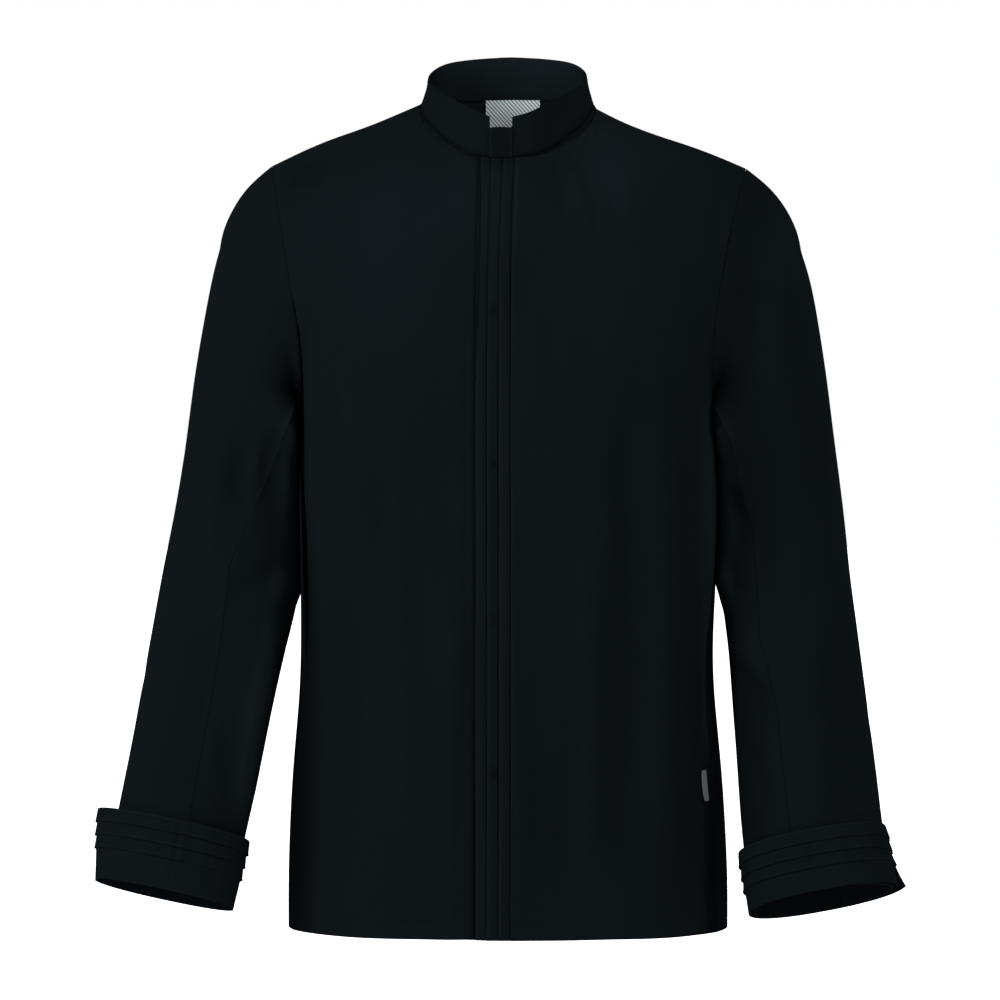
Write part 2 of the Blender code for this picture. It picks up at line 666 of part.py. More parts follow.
def build_sleeve(sign, rows, tag):
    ring, ring_normals = armhole_ring(sign)
    loop = loop_shape(ring)
    last = len(rows["out_x"]) - 1
    grid = [ring]
    for i in range(1, last + 1):
        grid.append(sleeve_ring(rows, i, ring_angles(i, last), loop))
    # more rings carry the tube down inside the cuff to the turn
    out, inn, chord, deep = sleeve_frame(rows, last)
    axis = unit(np.cross(deep, chord))
    axis = axis if axis[2] < 0.0 else -axis
    for _ in range(END_RINGS):
        grid.append(grid[-1] + axis * SLEEVE_END[tag] / END_RINGS)
    grid = np.array(grid)
    normals = tube_normals(grid)
    angles = [ring_angles(min(i, last), last) for i in range(len(grid))]
    for i in range(2, len(grid)):
        for k in range(grid.shape[1]):
            total = 0.0
            for at, angle, ring_spread, angle_spread, depth in SLEEVE_FOLDS:
                gap = (angles[i][k] - angle + 180.0) % 360.0 - 180.0
                total += depth * math.exp(-((i - at) / ring_spread) ** 2 - (gap / angle_spread) ** 2)
            grid[i, k] = grid[i, k] + normals[i, k] * total
    normals = tube_normals(grid)
    # the first ring keeps the body's wall direction, so both end faces lie side by side
    edge = np.roll(ring, -1, axis=0) - np.roll(ring, 1, axis=0)
    away = unit(np.cross(edge, ring_normals))
    for k in range(len(ring)):
        outward = grid[1, k] - ring[k]
        if np.dot(away[k], outward) < 0.0 and k != YOKE_ROWS:
            away[k] = -away[k]
    away[YOKE_ROWS] = np.array((0.0, 0.0, 1.0))
    grid[0] = ring + away * SEAM_GAP
    normals[0] = ring_normals
    inner = grid - normals * CLOTH
    flip = np.array((sign, 1.0, 1.0))
    top_index = [k % (2 * YOKE_ROWS) for k in range(BACK_SEAM_AT, 2 * YOKE_ROWS + FRONT_SEAM_AT + 1)]
    under_index = list(range(FRONT_SEAM_AT, BACK_SEAM_AT + 1))
    for piece, index in (("sleeve_top_", top_index), ("sleeve_under_", under_index)):
        outer_part = grid[:, index].copy()
        inner_part = inner[:, index].copy()
        start = unit(outer_part[:, 1] - outer_part[:, 0])
        end = unit(outer_part[:, -2] - outer_part[:, -1])
        for part in (outer_part, inner_part):
            part[:, 0] += start * 0.5 * SEAM_GAP
            part[:, -1] += end * 0.5 * SEAM_GAP
        add_solid(piece + tag, outer_part * flip, inner_part * flip, "cloth")
    return axis


left_axis = build_sleeve(1.0, SLEEVE_LEFT, "left")
right_axis = build_sleeve(-1.0, SLEEVE_RIGHT, "right")

# ---- cuffs --------------------------------------------------------------------------------

# how far the cuff stands off its sleeve: angle from the slit's middle, at its top and at its foot
CUFF_FLARE = {
    "right": {
        "angle": (0, 14, 40, 80, 130, 180, 240, 300, 340, 360),
        "top": (17, 16, 9, 4.5, 2.6, 1.6, 3.6, 5.0, 7, 9),
        "foot": (4.5, 4.5, 4, 2.6, 1.4, 0.75, 0.75, 2.0, 5, 6),
    },
    "left": {
        "angle": (0, 14, 40, 80, 130, 180, 240, 300, 340, 360),
        "top": (1.0, 1.0, 1.8, 2.8, 2.6, 1.6, 3.2, 3.2, 1.8, 1.2),
        "foot": (1.8, 1.8, 2.6, 3.0, 2.6, 2.4, 2.6, 3.0, 7, 10.0),
    },
}


def build_cuff(sign, axis, tag, rows):
    last = len(rows["out_x"]) - 1
    out, inn, chord, deep = sleeve_frame(rows, last)
    centre = 0.5 * (out + inn) + axis * SLEEVE_END[tag]
    half = 0.5 * np.linalg.norm(out - inn)
    depth = SLEEVE_BOTH["deep"][last]
    flare = CUFF_FLARE[tag]
    height = CUFF_HEIGHT[tag]
    power = CUFF_FOOT_POWER[tag]
    heights = [0.0]
    for step in CUFF_TUCKS:
        heights.extend((step - TUCK_STEP, step))
    heights.extend((0.5 * (CUFF_TUCKS[-1] + height), height))
    plain = np.zeros((len(heights), CUFF_COLUMNS + 1, 3))
    for i, h in enumerate(heights):
        low = (h / height) ** power
        for j in range(CUFF_COLUMNS + 1):
            angle = CUFF_SLIT / 2 + (360.0 - CUFF_SLIT) * j / CUFF_COLUMNS
            a = math.radians(angle)
            ca, sa = math.cos(a), math.sin(a)
            r = (abs(ca) ** SLEEVE_SQUARE + abs(sa) ** SLEEVE_SQUARE) ** (-1.0 / SLEEVE_SQUARE)
            stand = table(flare, "angle", "top", angle) * (1.0 - low)
            stand += table(flare, "angle", "foot", angle) * low
            flat = chord * (half * ca * r) + deep * (depth * sa * r)
            away = unit(chord * (ca * r / half) + deep * (sa * r / depth))
            plain[i, j] = centre + flat + away * (stand + CLOTH) - axis * (height - h)
    across = np.gradient(plain, axis=1)
    along = np.gradient(plain, axis=0)
    normals = unit(np.cross(across, along))
    facing = np.sum(normals * (plain - centre), axis=2, keepdims=True)
    normals = normals * np.where(facing < 0.0, -1.0, 1.0)
    peaks = {step - TUCK_STEP for step in CUFF_TUCKS}
    rises = np.array([CUFF_RISE if h in peaks else 0.0 for h in heights])
    outer = plain + normals * rises[:, None, None]
    inner = plain - normals * CLOTH
    flip = np.array((sign, 1.0, 1.0))
    add_solid("cuff_" + tag, outer * flip, inner * flip, "cloth")


build_cuff(1.0, left_axis, "left", SLEEVE_LEFT)
build_cuff(-1.0, right_axis, "right", SLEEVE_RIGHT)

# ---- collar, tab and labels ---------------------------------------------------------------


def collar_point(angle, t, upright=False):
    """Point of the collar's outer face, t from the neck seam up; an upright column keeps its x."""
    side = 1.0 if angle >= 0.0 else -1.0
    turn = abs(angle)
    base = neck_point(turn) + np.array((0.0, 0.0, 2.0 * SEAM_GAP))
    a = math.radians(turn)
    a_top = math.asin(base[0] / COLLAR_HALF) if upright else a
    deep = COLLAR_FRONT if turn <= 90 else COLLAR_BACK
    top = np.array((COLLAR_HALF * math.sin(a_top), COLLAR_CENTRE_Y - deep * math.cos(a_top),
                    table(COLLAR_TOP, "angle", "z", turn)))
    bow = math.sin(math.pi * t) * COLLAR_BOW
    point = base + (top - base) * t
    away = unit(np.array((math.sin(a), -math.cos(a), 0.0)))
    point = point - away * bow
    return point * np.array((side, 1.0, 1.0))


# the collar's columns meet the body's own columns along the neck seam
band_angle = math.degrees(math.asin(BAND_END / NECK_HALF))
edge_angle = math.degrees(math.asin(abs(BAND_EDGE) / NECK_HALF))
middle_angle = math.degrees(math.asin(BAND_END / 2 / NECK_HALF))
neck_step = (90.0 - band_angle) / NECK_COLUMNS
quarter = [band_angle + neck_step * k for k in range(NECK_COLUMNS + 1)]
half_turn = [edge_angle] + quarter
half_turn += [180.0 - a for a in reversed(quarter[:-1])] + [180.0 - middle_angle]
left_end = math.degrees(math.asin(COLLAR_END_LEFT_X / NECK_HALF))
right_end = math.degrees(math.asin(COLLAR_END_RIGHT_X / NECK_HALF))
collar_angles = [left_end] + half_turn + [180.0] + [-a for a in reversed(half_turn)] + [right_end]
collar_outer = np.array([[collar_point(a, i / COLLAR_ROWS, a in (left_end, right_end))
                          for a in collar_angles]
                         for i in range(COLLAR_ROWS + 1)])
collar_away = np.array([[unit(np.array((math.sin(math.radians(a)), -math.cos(math.radians(a)), 0.0)))
                         for a in collar_angles] for i in range(COLLAR_ROWS + 1)])
add_solid("collar", collar_outer, collar_outer - collar_away * CLOTH, "cloth")

TAB_ROWS = 3
TAB_COLUMNS = 4
tab_outer = []
for i in range(TAB_ROWS + 1):
    row = []
    for j in range(TAB_COLUMNS + 1):
        x = TAB_CENTRE - TAB_HALF + 2 * TAB_HALF * j / TAB_COLUMNS
        angle = math.degrees(math.asin(abs(x) / NECK_HALF))
        point = collar_point(angle, 0.0) * np.array((math.copysign(1.0, x), 1.0, 1.0))
        rise = TAB_HEIGHT * i / TAB_ROWS - (TAB_CORNER if i == TAB_ROWS and j in (0, TAB_COLUMNS) else 0.0)
        row.append(point + np.array((0.0, TAB_SET_BACK + TAB_LEAN * rise, rise)))
    tab_outer.append(row)
tab_outer = np.array(tab_outer)
add_solid("collar_tab", tab_outer, tab_outer + np.array((0.0, CLOTH, 0.0)), "cloth")

LABEL_ROWS = 3
LABEL_COLUMNS = 6
label_rows = []
for i in range(LABEL_ROWS + 1):
    row = []
    for j in range(LABEL_COLUMNS + 1):
        x = LABEL_SHIFT - LABEL_HALF + 2 * LABEL_HALF * j / LABEL_COLUMNS
        angle = 180.0 - math.degrees(math.asin(abs(x) / NECK_HALF))
        point = neck_point(angle) * np.array((math.copysign(1.0, x), 1.0, 1.0))
        drop = LABEL_DROP * i / LABEL_ROWS
        row.append(point + np.array((0.0, LABEL_LEAN * drop - CLOTH - LABEL_CLEARANCE, -drop)))
    label_rows.append(row)
label_front = np.array(label_rows)
add_solid("neck_label", label_front, label_front + np.array((0.0, LABEL_THICK, 0.0)), "label")

FLAG_ROWS = 2
FLAG_COLUMNS = 3
flag_rows = []
for i in range(FLAG_ROWS + 1):
    z = FLAG_TOP - FLAG_HEIGHT * i / FLAG_ROWS
    base = ring_at_angle(z, table(SIDE_SEAM, "z", "angle", z), False)
    base = base + np.array((table(BODY, "z", "shift", z), 0.0, 0.0))
    normal = ring_normal(base, z)
    lie = unit(np.cross(normal, np.array((0.0, 0.0, 1.0))))
    lie = lie if lie[1] > 0.0 else -lie
    row = []
    for j in range(FLAG_COLUMNS + 1):
        share = j / FLAG_COLUMNS
        away = FLAG_CLEARANCE + FLAG_RISE * math.sin(FLAG_TURN * share)
        row.append(base + normal * away + lie * (FLAG_WIDTH * share + FLAG_START))
    flag_rows.append(row)
flag_outer = np.array(flag_rows)
flag_across = np.gradient(flag_outer, axis=1)
flag_down = np.gradient(flag_outer, axis=0)
flag_normals = unit(np.cross(flag_across, flag_down))
facing = np.sum(flag_normals * flag_outer, axis=2, keepdims=True)
flag_normals = flag_normals * np.where(facing < 0.0, -1.0, 1.0)
flag_half = flag_normals * 0.5 * FLAG_THICK
add_solid("side_label", flag_outer + flag_half, flag_outer - flag_half, "flag")
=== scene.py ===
import math

import bmesh
import bpy
import numpy as np
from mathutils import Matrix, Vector
from mathutils.bvhtree import BVHTree


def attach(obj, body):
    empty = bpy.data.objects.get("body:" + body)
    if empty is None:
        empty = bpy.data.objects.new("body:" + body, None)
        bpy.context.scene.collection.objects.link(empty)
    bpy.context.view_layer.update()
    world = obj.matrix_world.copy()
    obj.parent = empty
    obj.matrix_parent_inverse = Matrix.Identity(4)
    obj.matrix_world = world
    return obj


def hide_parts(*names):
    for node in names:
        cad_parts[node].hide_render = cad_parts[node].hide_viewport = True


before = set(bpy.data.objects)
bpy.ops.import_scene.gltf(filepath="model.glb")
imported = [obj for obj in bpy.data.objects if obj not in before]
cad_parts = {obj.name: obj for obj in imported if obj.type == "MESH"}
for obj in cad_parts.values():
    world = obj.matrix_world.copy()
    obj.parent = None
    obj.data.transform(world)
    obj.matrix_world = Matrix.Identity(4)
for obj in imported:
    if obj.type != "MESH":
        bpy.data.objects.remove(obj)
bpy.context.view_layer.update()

# ==== camera and studio =====================================================================
# The jacket hangs filled out over a pale floor in a white surround. A long lens looks at it
# from the height of its middle, a few degrees round towards the wearer's left sleeve.
view_turn = math.radians(3.0)
view_distance = 4.0
view_width = 0.93
view_height = -0.364
view_aside = -0.00744
toward_camera = Vector((math.sin(view_turn), -math.cos(view_turn), 0.0))
camera_right = Vector((math.cos(view_turn), math.sin(view_turn), 0.0))
sensor_width = 36.0
camera_data = bpy.data.cameras.new("view_camera")
camera_data.sensor_width = sensor_width
camera_data.lens = sensor_width * view_distance / view_width
camera_data.clip_start = 0.1
camera_data.clip_end = 60.0
camera = bpy.data.objects.new("view_camera", camera_data)
bpy.context.scene.collection.objects.link(camera)
camera.location = (toward_camera * view_distance + camera_right * view_aside
                   + Vector((0.0, 0.0, view_height)))
camera.rotation_euler = (math.radians(90.0), 0.0, view_turn)
bpy.context.scene.camera = camera

bpy.context.scene.view_settings.view_transform = "Standard"

floor_level = -1.02
bpy.ops.object.select_all(action="DESELECT")
bpy.ops.mesh.primitive_circle_add(vertices=96, radius=60.0, fill_type="NGON",
                                  location=(0.0, 0.0, floor_level))
studio_floor = bpy.context.object
studio_floor.name = "studio_floor"
bpy.ops.object.transform_apply(location=True, rotation=True, scale=True)
floor_paint = bpy.data.materials.new("floor_paint")
floor_paint.use_nodes = True
floor_tree = floor_paint.node_tree
floor_shader = floor_tree.nodes["Principled BSDF"]
floor_shader.inputs["Base Color"].default_value = (0.90, 0.90, 0.90, 1.0)
floor_shader.inputs["Roughness"].default_value = 0.9
floor_shader.inputs["Specular IOR Level"].default_value = 0.1
floor_shader.inputs["Emission Color"].default_value = (1.0, 1.0, 1.0, 1.0)
floor_seen = floor_tree.nodes.new("ShaderNodeLightPath")
floor_tree.links.new(floor_seen.outputs["Is Camera Ray"], floor_shader.inputs["Emission Strength"])
floor_noise = floor_tree.nodes.new("ShaderNodeTexNoise")
floor_noise.inputs["Scale"].default_value = 3.0
floor_bump = floor_tree.nodes.new("ShaderNodeBump")
floor_bump.inputs["Strength"].default_value = 0.02
floor_tree.links.new(floor_noise.outputs["Fac"], floor_bump.inputs["Height"])
floor_tree.links.new(floor_bump.outputs["Normal"], floor_shader.inputs["Normal"])
studio_floor.data.materials.append(floor_paint)

# the surround is white where the camera sees it, and a little dimmer as a light on the cloth
studio_world = bpy.data.worlds.new("studio_world")
studio_world.use_nodes = True
surround = studio_world.node_tree
seen_directly = surround.nodes.new("ShaderNodeLightPath")
surround_strength = surround.nodes.new("ShaderNodeMapRange")
surround_strength.inputs["To Min"].default_value = 0.78
surround_strength.inputs["To Max"].default_value = 1.0
surround.links.new(seen_directly.outputs["Is Camera Ray"], surround_strength.inputs["Value"])
surround.nodes["Background"].inputs["Color"].default_value = (1.0, 1.0, 1.0, 1.0)
surround.links.new(surround_strength.outputs["Result"], surround.nodes["Background"].inputs["Strength"])
bpy.context.scene.world = studio_world

# soft lamps: name, place, what each is aimed at, size in metres, watts
for lamp_name, place, target, size, power in (
        ("key_left", (-2.6, -2.1, 1.0), (0.0, 0.0, -0.35), 1.0, 74.0),
        ("fill_right", (2.4, -2.4, 1.2), (0.0, 0.0, -0.35), 1.0, 32.0),
        ("back_left", (-1.8, 2.6, 0.9), (0.0, 0.0, -0.3), 1.4, 44.0),
        ("back_right", (2.2, 2.2, 0.5), (0.0, 0.0, -0.3), 1.4, 22.0)):
    lamp_data = bpy.data.lights.new(lamp_name, "AREA")
    lamp_data.size = size
    lamp_data.energy = power
    lamp = bpy.data.objects.new(lamp_name, lamp_data)
    bpy.context.scene.collection.objects.link(lamp)
    lamp.location = place
    lamp.rotation_mode = "QUATERNION"
    lamp.rotation_quaternion = (Vector(target) - Vector(place)).to_track_quat("-Z", "Y")

# ==== fronts and back =======================================================================
# Three panels of black twill. The wearer's left front laps over the right one and ends in a
# concealed fastening band with three pressed tucks. The fabric is cut, seamed and pressed flat.


def new_group(name, inputs, outputs):
    """Shader node group with named inputs and outputs."""
    group = bpy.data.node_groups.new(name, "ShaderNodeTree")
    for label, kind, value in inputs:
        socket = group.interface.new_socket(label, in_out="INPUT", socket_type=kind)
        if value is not None:
            socket.default_value = value
    for label, kind in outputs:
        group.interface.new_socket(label, in_out="OUTPUT", socket_type=kind)
    return group, group.nodes.new("NodeGroupInput"), group.nodes.new("NodeGroupOutput")


def maths(tree, kind, first, second=None):
    """Math node over sockets or plain numbers."""
    node = tree.nodes.new("ShaderNodeMath")
    node.operation = kind
    for slot, value in enumerate((first, second)):
        if value is None:
            continue
        if isinstance(value, (int, float)):
            node.inputs[slot].default_value = value
        else:
            tree.links.new(value, node.inputs[slot])
    return node.outputs[0]


# twill: fine diagonal ribs crossed by the weft, in the piece's own cloth coordinates (metres)
twill_group, twill_in, twill_out = new_group(
    "twill_weave",
    (("Cloth", "NodeSocketVector", None), ("Pitch", "NodeSocketFloat", 0.0011),
     ("Slub", "NodeSocketFloat", 0.35)),
    (("Height", "NodeSocketFloat"), ("Thread", "NodeSocketFloat")))
twill_parts = twill_group.nodes.new("ShaderNodeSeparateXYZ")
twill_group.links.new(twill_in.outputs["Cloth"], twill_parts.inputs[0])
diagonal = maths(twill_group, "ADD", twill_parts.outputs["X"],
                 maths(twill_group, "MULTIPLY", twill_parts.outputs["Y"], 0.8))
rib_turn = maths(twill_group, "DIVIDE", diagonal, twill_in.outputs["Pitch"])
rib = maths(twill_group, "SINE", maths(twill_group, "MULTIPLY", rib_turn, 2 * math.pi))
weft_turn = maths(twill_group, "DIVIDE", twill_parts.outputs["Y"], twill_in.outputs["Pitch"])
weft = maths(twill_group, "SINE", maths(twill_group, "MULTIPLY", weft_turn, 3.7 * math.pi))
slub = twill_group.nodes.new("ShaderNodeTexNoise")
slub.inputs["Scale"].default_value = 900.0
slub.inputs["Detail"].default_value = 2.0
twill_group.links.new(twill_in.outputs["Cloth"], slub.inputs["Vector"])
woven = maths(twill_group, "ADD", maths(twill_group, "MULTIPLY", rib, 0.32),
              maths(twill_group, "MULTIPLY", weft, 0.12))
slubbed = maths(twill_group, "MULTIPLY", slub.outputs["Fac"], twill_in.outputs["Slub"])
woven = maths(twill_group, "ADD", maths(twill_group, "ADD", woven, slubbed), 0.3)
twill_group.links.new(woven, twill_out.inputs["Height"])
twill_group.links.new(maths(twill_group, "MULTIPLY", woven, 0.8), twill_out.inputs["Thread"])

# pressing and handling: broad soft change of tone and of gloss over a panel
press_group, press_in, press_out = new_group(
    "pressed_tone", (("Amount", "NodeSocketFloat", 0.5),),
    (("Tone", "NodeSocketFloat"), ("Ripple", "NodeSocketFloat")))
press_place = press_group.nodes.new("ShaderNodeTexCoord")
broad = press_group.nodes.new("ShaderNodeTexNoise")
broad.inputs["Scale"].default_value = 7.0
broad.inputs["Detail"].default_value = 3.0
broad.inputs["Roughness"].default_value = 0.55
press_stretch = press_group.nodes.new("ShaderNodeMapping")
press_stretch.inputs["Scale"].default_value = (1.6, 1.6, 0.55)
press_group.links.new(press_place.outputs["Object"], press_stretch.inputs["Vector"])
press_group.links.new(press_stretch.outputs["Vector"], broad.inputs["Vector"])
ripple = press_group.nodes.new("ShaderNodeTexNoise")
ripple.inputs["Scale"].default_value = 26.0
ripple.inputs["Detail"].default_value = 4.0
press_group.links.new(press_stretch.outputs["Vector"], ripple.inputs["Vector"])
press_shade = maths(press_group, "SUBTRACT", broad.outputs["Fac"], 0.5)
press_group.links.new(maths(press_group, "MULTIPLY", press_shade, press_in.outputs["Amount"]),
                      press_out.inputs["Tone"])
press_group.links.new(ripple.outputs["Fac"], press_out.inputs["Ripple"])


def relief(tree, height, strength, distance):
    """Bump node that raises a surface by a height socket."""
    node = tree.nodes.new("ShaderNodeBump")
    node.inputs["Strength"].default_value = strength
    node.inputs["Distance"].default_value = distance
    tree.links.new(height, node.inputs["Height"])
    return node


def two_shades(tree, first, second, share):
    """Colour that goes from one shade to the other with a 0 to 1 socket."""
    mix = tree.nodes.new("ShaderNodeMix")
    mix.data_type = "RGBA"
    mix.inputs["A"].default_value = (*first, 1.0)
    mix.inputs["B"].default_value = (*second, 1.0)
    tree.links.new(share, mix.inputs["Factor"])
    return mix.outputs["Result"]


def cloth_material(name, dark, light, rough):
    """Twill of two close shades of thread with a dull face; its colour is drawn paler or darker by the
    painted light and shade stored on its points.
    """
    material = bpy.data.materials.new(name)
    material.use_nodes = True
    tree = material.node_tree
    shader = tree.nodes["Principled BSDF"]
    shader.inputs["Specular IOR Level"].default_value = 0.0
    cloth = tree.nodes.new("ShaderNodeUVMap")
    cloth.uv_map = "cloth"
    weave = tree.nodes.new("ShaderNodeGroup")
    weave.node_tree = twill_group
    tree.links.new(cloth.outputs["UV"], weave.inputs["Cloth"])
    tone_and_painted_light = tree.nodes.new("ShaderNodeGroup")
    tone_and_painted_light.node_tree = press_group
    tone_and_painted_light.inputs["Amount"].default_value = 0.6
    share = maths(tree, "ADD", weave.outputs["Thread"], tone_and_painted_light.outputs["Tone"])
    # painted light and shade: the colour is multiplied by one plus the amount stored on the points
    painted_light_and_shade = tree.nodes.new("ShaderNodeAttribute")
    painted_light_and_shade.attribute_name = "painted_light_and_shade"
    worn = tree.nodes.new("ShaderNodeMix")
    worn.data_type = "RGBA"
    worn.blend_type = "MULTIPLY"
    worn.inputs["Factor"].default_value = 1.0
    tree.links.new(two_shades(tree, dark, light, share), worn.inputs["A"])
    tree.links.new(maths(tree, "ADD", painted_light_and_shade.outputs["Fac"], 1.0), worn.inputs["B"])
    tree.links.new(worn.outputs["Result"], shader.inputs["Base Color"])
    gloss = maths(tree, "ADD", maths(tree, "MULTIPLY", tone_and_painted_light.outputs["Tone"], -0.18), rough)
    tree.links.new(gloss, shader.inputs["Roughness"])
    fine = relief(tree, weave.outputs["Height"], 0.5, 0.0003)
    soft = relief(tree, tone_and_painted_light.outputs["Ripple"], 0.25, 0.004)
    tree.links.new(soft.outputs["Normal"], fine.inputs["Normal"])
    tree.links.new(fine.outputs["Normal"], shader.inputs["Normal"])
    return material


black_twill = cloth_material("black_twill", (0.0028, 0.0041, 0.0050), (0.0056, 0.0083, 0.0098), 0.8)


def select_only(piece):
    """Make the piece the one that operators act on."""
    bpy.ops.object.select_all(action="DESELECT")
    bpy.context.view_layer.objects.active = piece
    piece.select_set(True)


def dressed_copy(node, levels):
    """A refined copy of a solid: its doubles are merged, its grid restored and its edges kept crisp."""
    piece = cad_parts[node].copy()
    piece.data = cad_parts[node].data.copy()
    piece.parent = None
    piece.name = "cloth_" + node
    for key in list(piece.keys()):
        del piece[key]
    bpy.context.scene.collection.objects.link(piece)
    select_only(piece)
    piece.data.materials.clear()
    bpy.ops.object.mode_set(mode="EDIT")
    bpy.ops.mesh.select_all(action="SELECT")
    bpy.ops.mesh.remove_doubles(threshold=0.00002)
    bpy.ops.mesh.tris_convert_to_quads(face_threshold=math.radians(30), shape_threshold=math.radians(60))
    bpy.ops.object.mode_set(mode="OBJECT")
    crisp_angle = math.radians(42.0)
    shape = bmesh.new()
    shape.from_mesh(piece.data)
    edge_values = shape.edges.layers.float
    crease = edge_values.get("crease_edge") or edge_values.new("crease_edge")
    for edge in shape.edges:
        if len(edge.link_faces) == 2 and edge.calc_face_angle() > crisp_angle:
            edge[crease] = 1.0
    shape.to_mesh(piece.data)
    shape.free()
    smooth = piece.modifiers.new("rounding", "SUBSURF")
    smooth.levels = levels
    smooth.render_levels = levels
    bpy.ops.object.modifier_apply(modifier="rounding")
    return piece


def points_of(piece, kind="co"):
    """The places of the piece's points, or their normals, one to a row."""
    rows = np.zeros(len(piece.data.vertices) * 3)
    piece.data.vertices.foreach_get(kind, rows)
    return rows.reshape(-1, 3)


def move_points(piece, co):
    """Put the piece's points at new places."""
    piece.data.vertices.foreach_set("co", co.ravel())
    piece.data.update()


def ease(value, low, high):
    """Smooth step from 0 below the low value to 1 above the high one."""
    t = np.clip((value - low) / (high - low), 0.0, 1.0)
    return t * t * (3.0 - 2.0 * t)


def crease_push(co, outward, rows):
    """How far each point moves outward, from a table of creases laid on one face of the piece.

    A row is: face, points of its line (x or y, and z, in millimetres), half width, depth.
    """
    fullness = 1.5
    push = np.zeros(len(co))
    for face, line, width, depth in rows:
        axis = 1 if face in ("left", "right") else 0
        flat = co[:, (axis, 2)] * 1000.0
        facing = {"front": -outward[:, 1], "back": outward[:, 1],
                  "left": outward[:, 0], "right": -outward[:, 0]}[face]
        # a crease stays on the side that faces its way, and the taper ends it softly
        mask = ease(facing, 0.05, 0.4)
        near = np.full(len(co), 1e9)
        share = np.zeros(len(co))
        line = np.array(line, dtype=float)
        steps = np.linalg.norm(np.diff(line, axis=0), axis=1)
        total = steps.sum()
        run = 0.0
        for a, b, length in zip(line, line[1:], steps):
            t = np.clip(((flat - a) @ (b - a)) / length ** 2, 0.0, 1.0)
            gap = np.linalg.norm(flat - (a + t[:, None] * (b - a)), axis=1)
            closer = gap < near
            near = np.where(closer, gap, near)
            share = np.where(closer, (run + t * length) / total, share)
            run += length
        taper = np.sqrt(np.clip(np.sin(np.pi * np.clip(share, 0.02, 0.98)), 0.0, 1.0))
        push += fullness * depth * mask * taper * np.exp(-(near / width) ** 2)
    return push * 0.001


def body_outward(co):
    """Direction away from the wearer's trunk, fading out along the shoulder seams."""
    half_width = 0.19
    half_depth = 0.13
    upward = 34.0 * ease(co[:, 2], -0.14, -0.01)
    out = np.stack((co[:, 0] / half_width ** 2, co[:, 1] / half_depth ** 2, upward), axis=1)
    seam = (1.0 - ease(np.abs(co[:, 1] + 0.003), 0.006, 0.024)) * ease(co[:, 2], -0.11, -0.09)
    return out / np.linalg.norm(out, axis=1, keepdims=True) * (1.0 - seam)[:, None]


def push_cloth(piece, outward_of, rows):
    """Lay the creases of a table into the piece."""
    co = points_of(piece)
    outward = outward_of(co)
    move_points(piece, co + outward * crease_push(co, outward, rows)[:, None])


def tone_and_painted_light(piece, amount_at):
    """Store the painted light and shade at each point: how much paler or darker its cloth colour is drawn.
    """
    layer = piece.data.attributes.new("painted_light_and_shade", "FLOAT", "POINT")
    layer.data.foreach_set("value", amount_at(points_of(piece)).astype(np.float32))


def bump(value, middle, width):
    """Soft hump of height 1 round the middle."""
    return np.exp(-((value - middle) / width) ** 2)


def cloth_map(piece, to_cloth):
    """UV map in metres of cloth, so that the weave keeps its size and follows the piece."""
    mesh = piece.data
    flat = to_cloth(points_of(piece))
    layer = mesh.uv_layers.new(name="cloth")
    index = np.zeros(len(mesh.loops), dtype=np.int32)
    mesh.loops.foreach_get("vertex_index", index)
    layer.data.foreach_set("uv", flat[index].ravel())


def finish_cloth(piece, node, material):
    """Smooth a dressed piece, give it its cloth and let it stand for its solid."""
    select_only(piece)
    bpy.ops.object.shade_smooth_by_angle(angle=math.radians(38.0))
    piece.data.materials.append(material)
    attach(piece, "root")
    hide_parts(node)


trunk_radius = 0.165


def body_flat(co):
    """Cloth coordinates that open out at the centre front."""
    return np.stack((np.arctan2(co[:, 0], -co[:, 1]) * trunk_radius, co[:, 2]), axis=1)


def back_flat(co):
    return np.stack((np.arctan2(co[:, 0], co[:, 1]) * trunk_radius, co[:, 2]), axis=1)


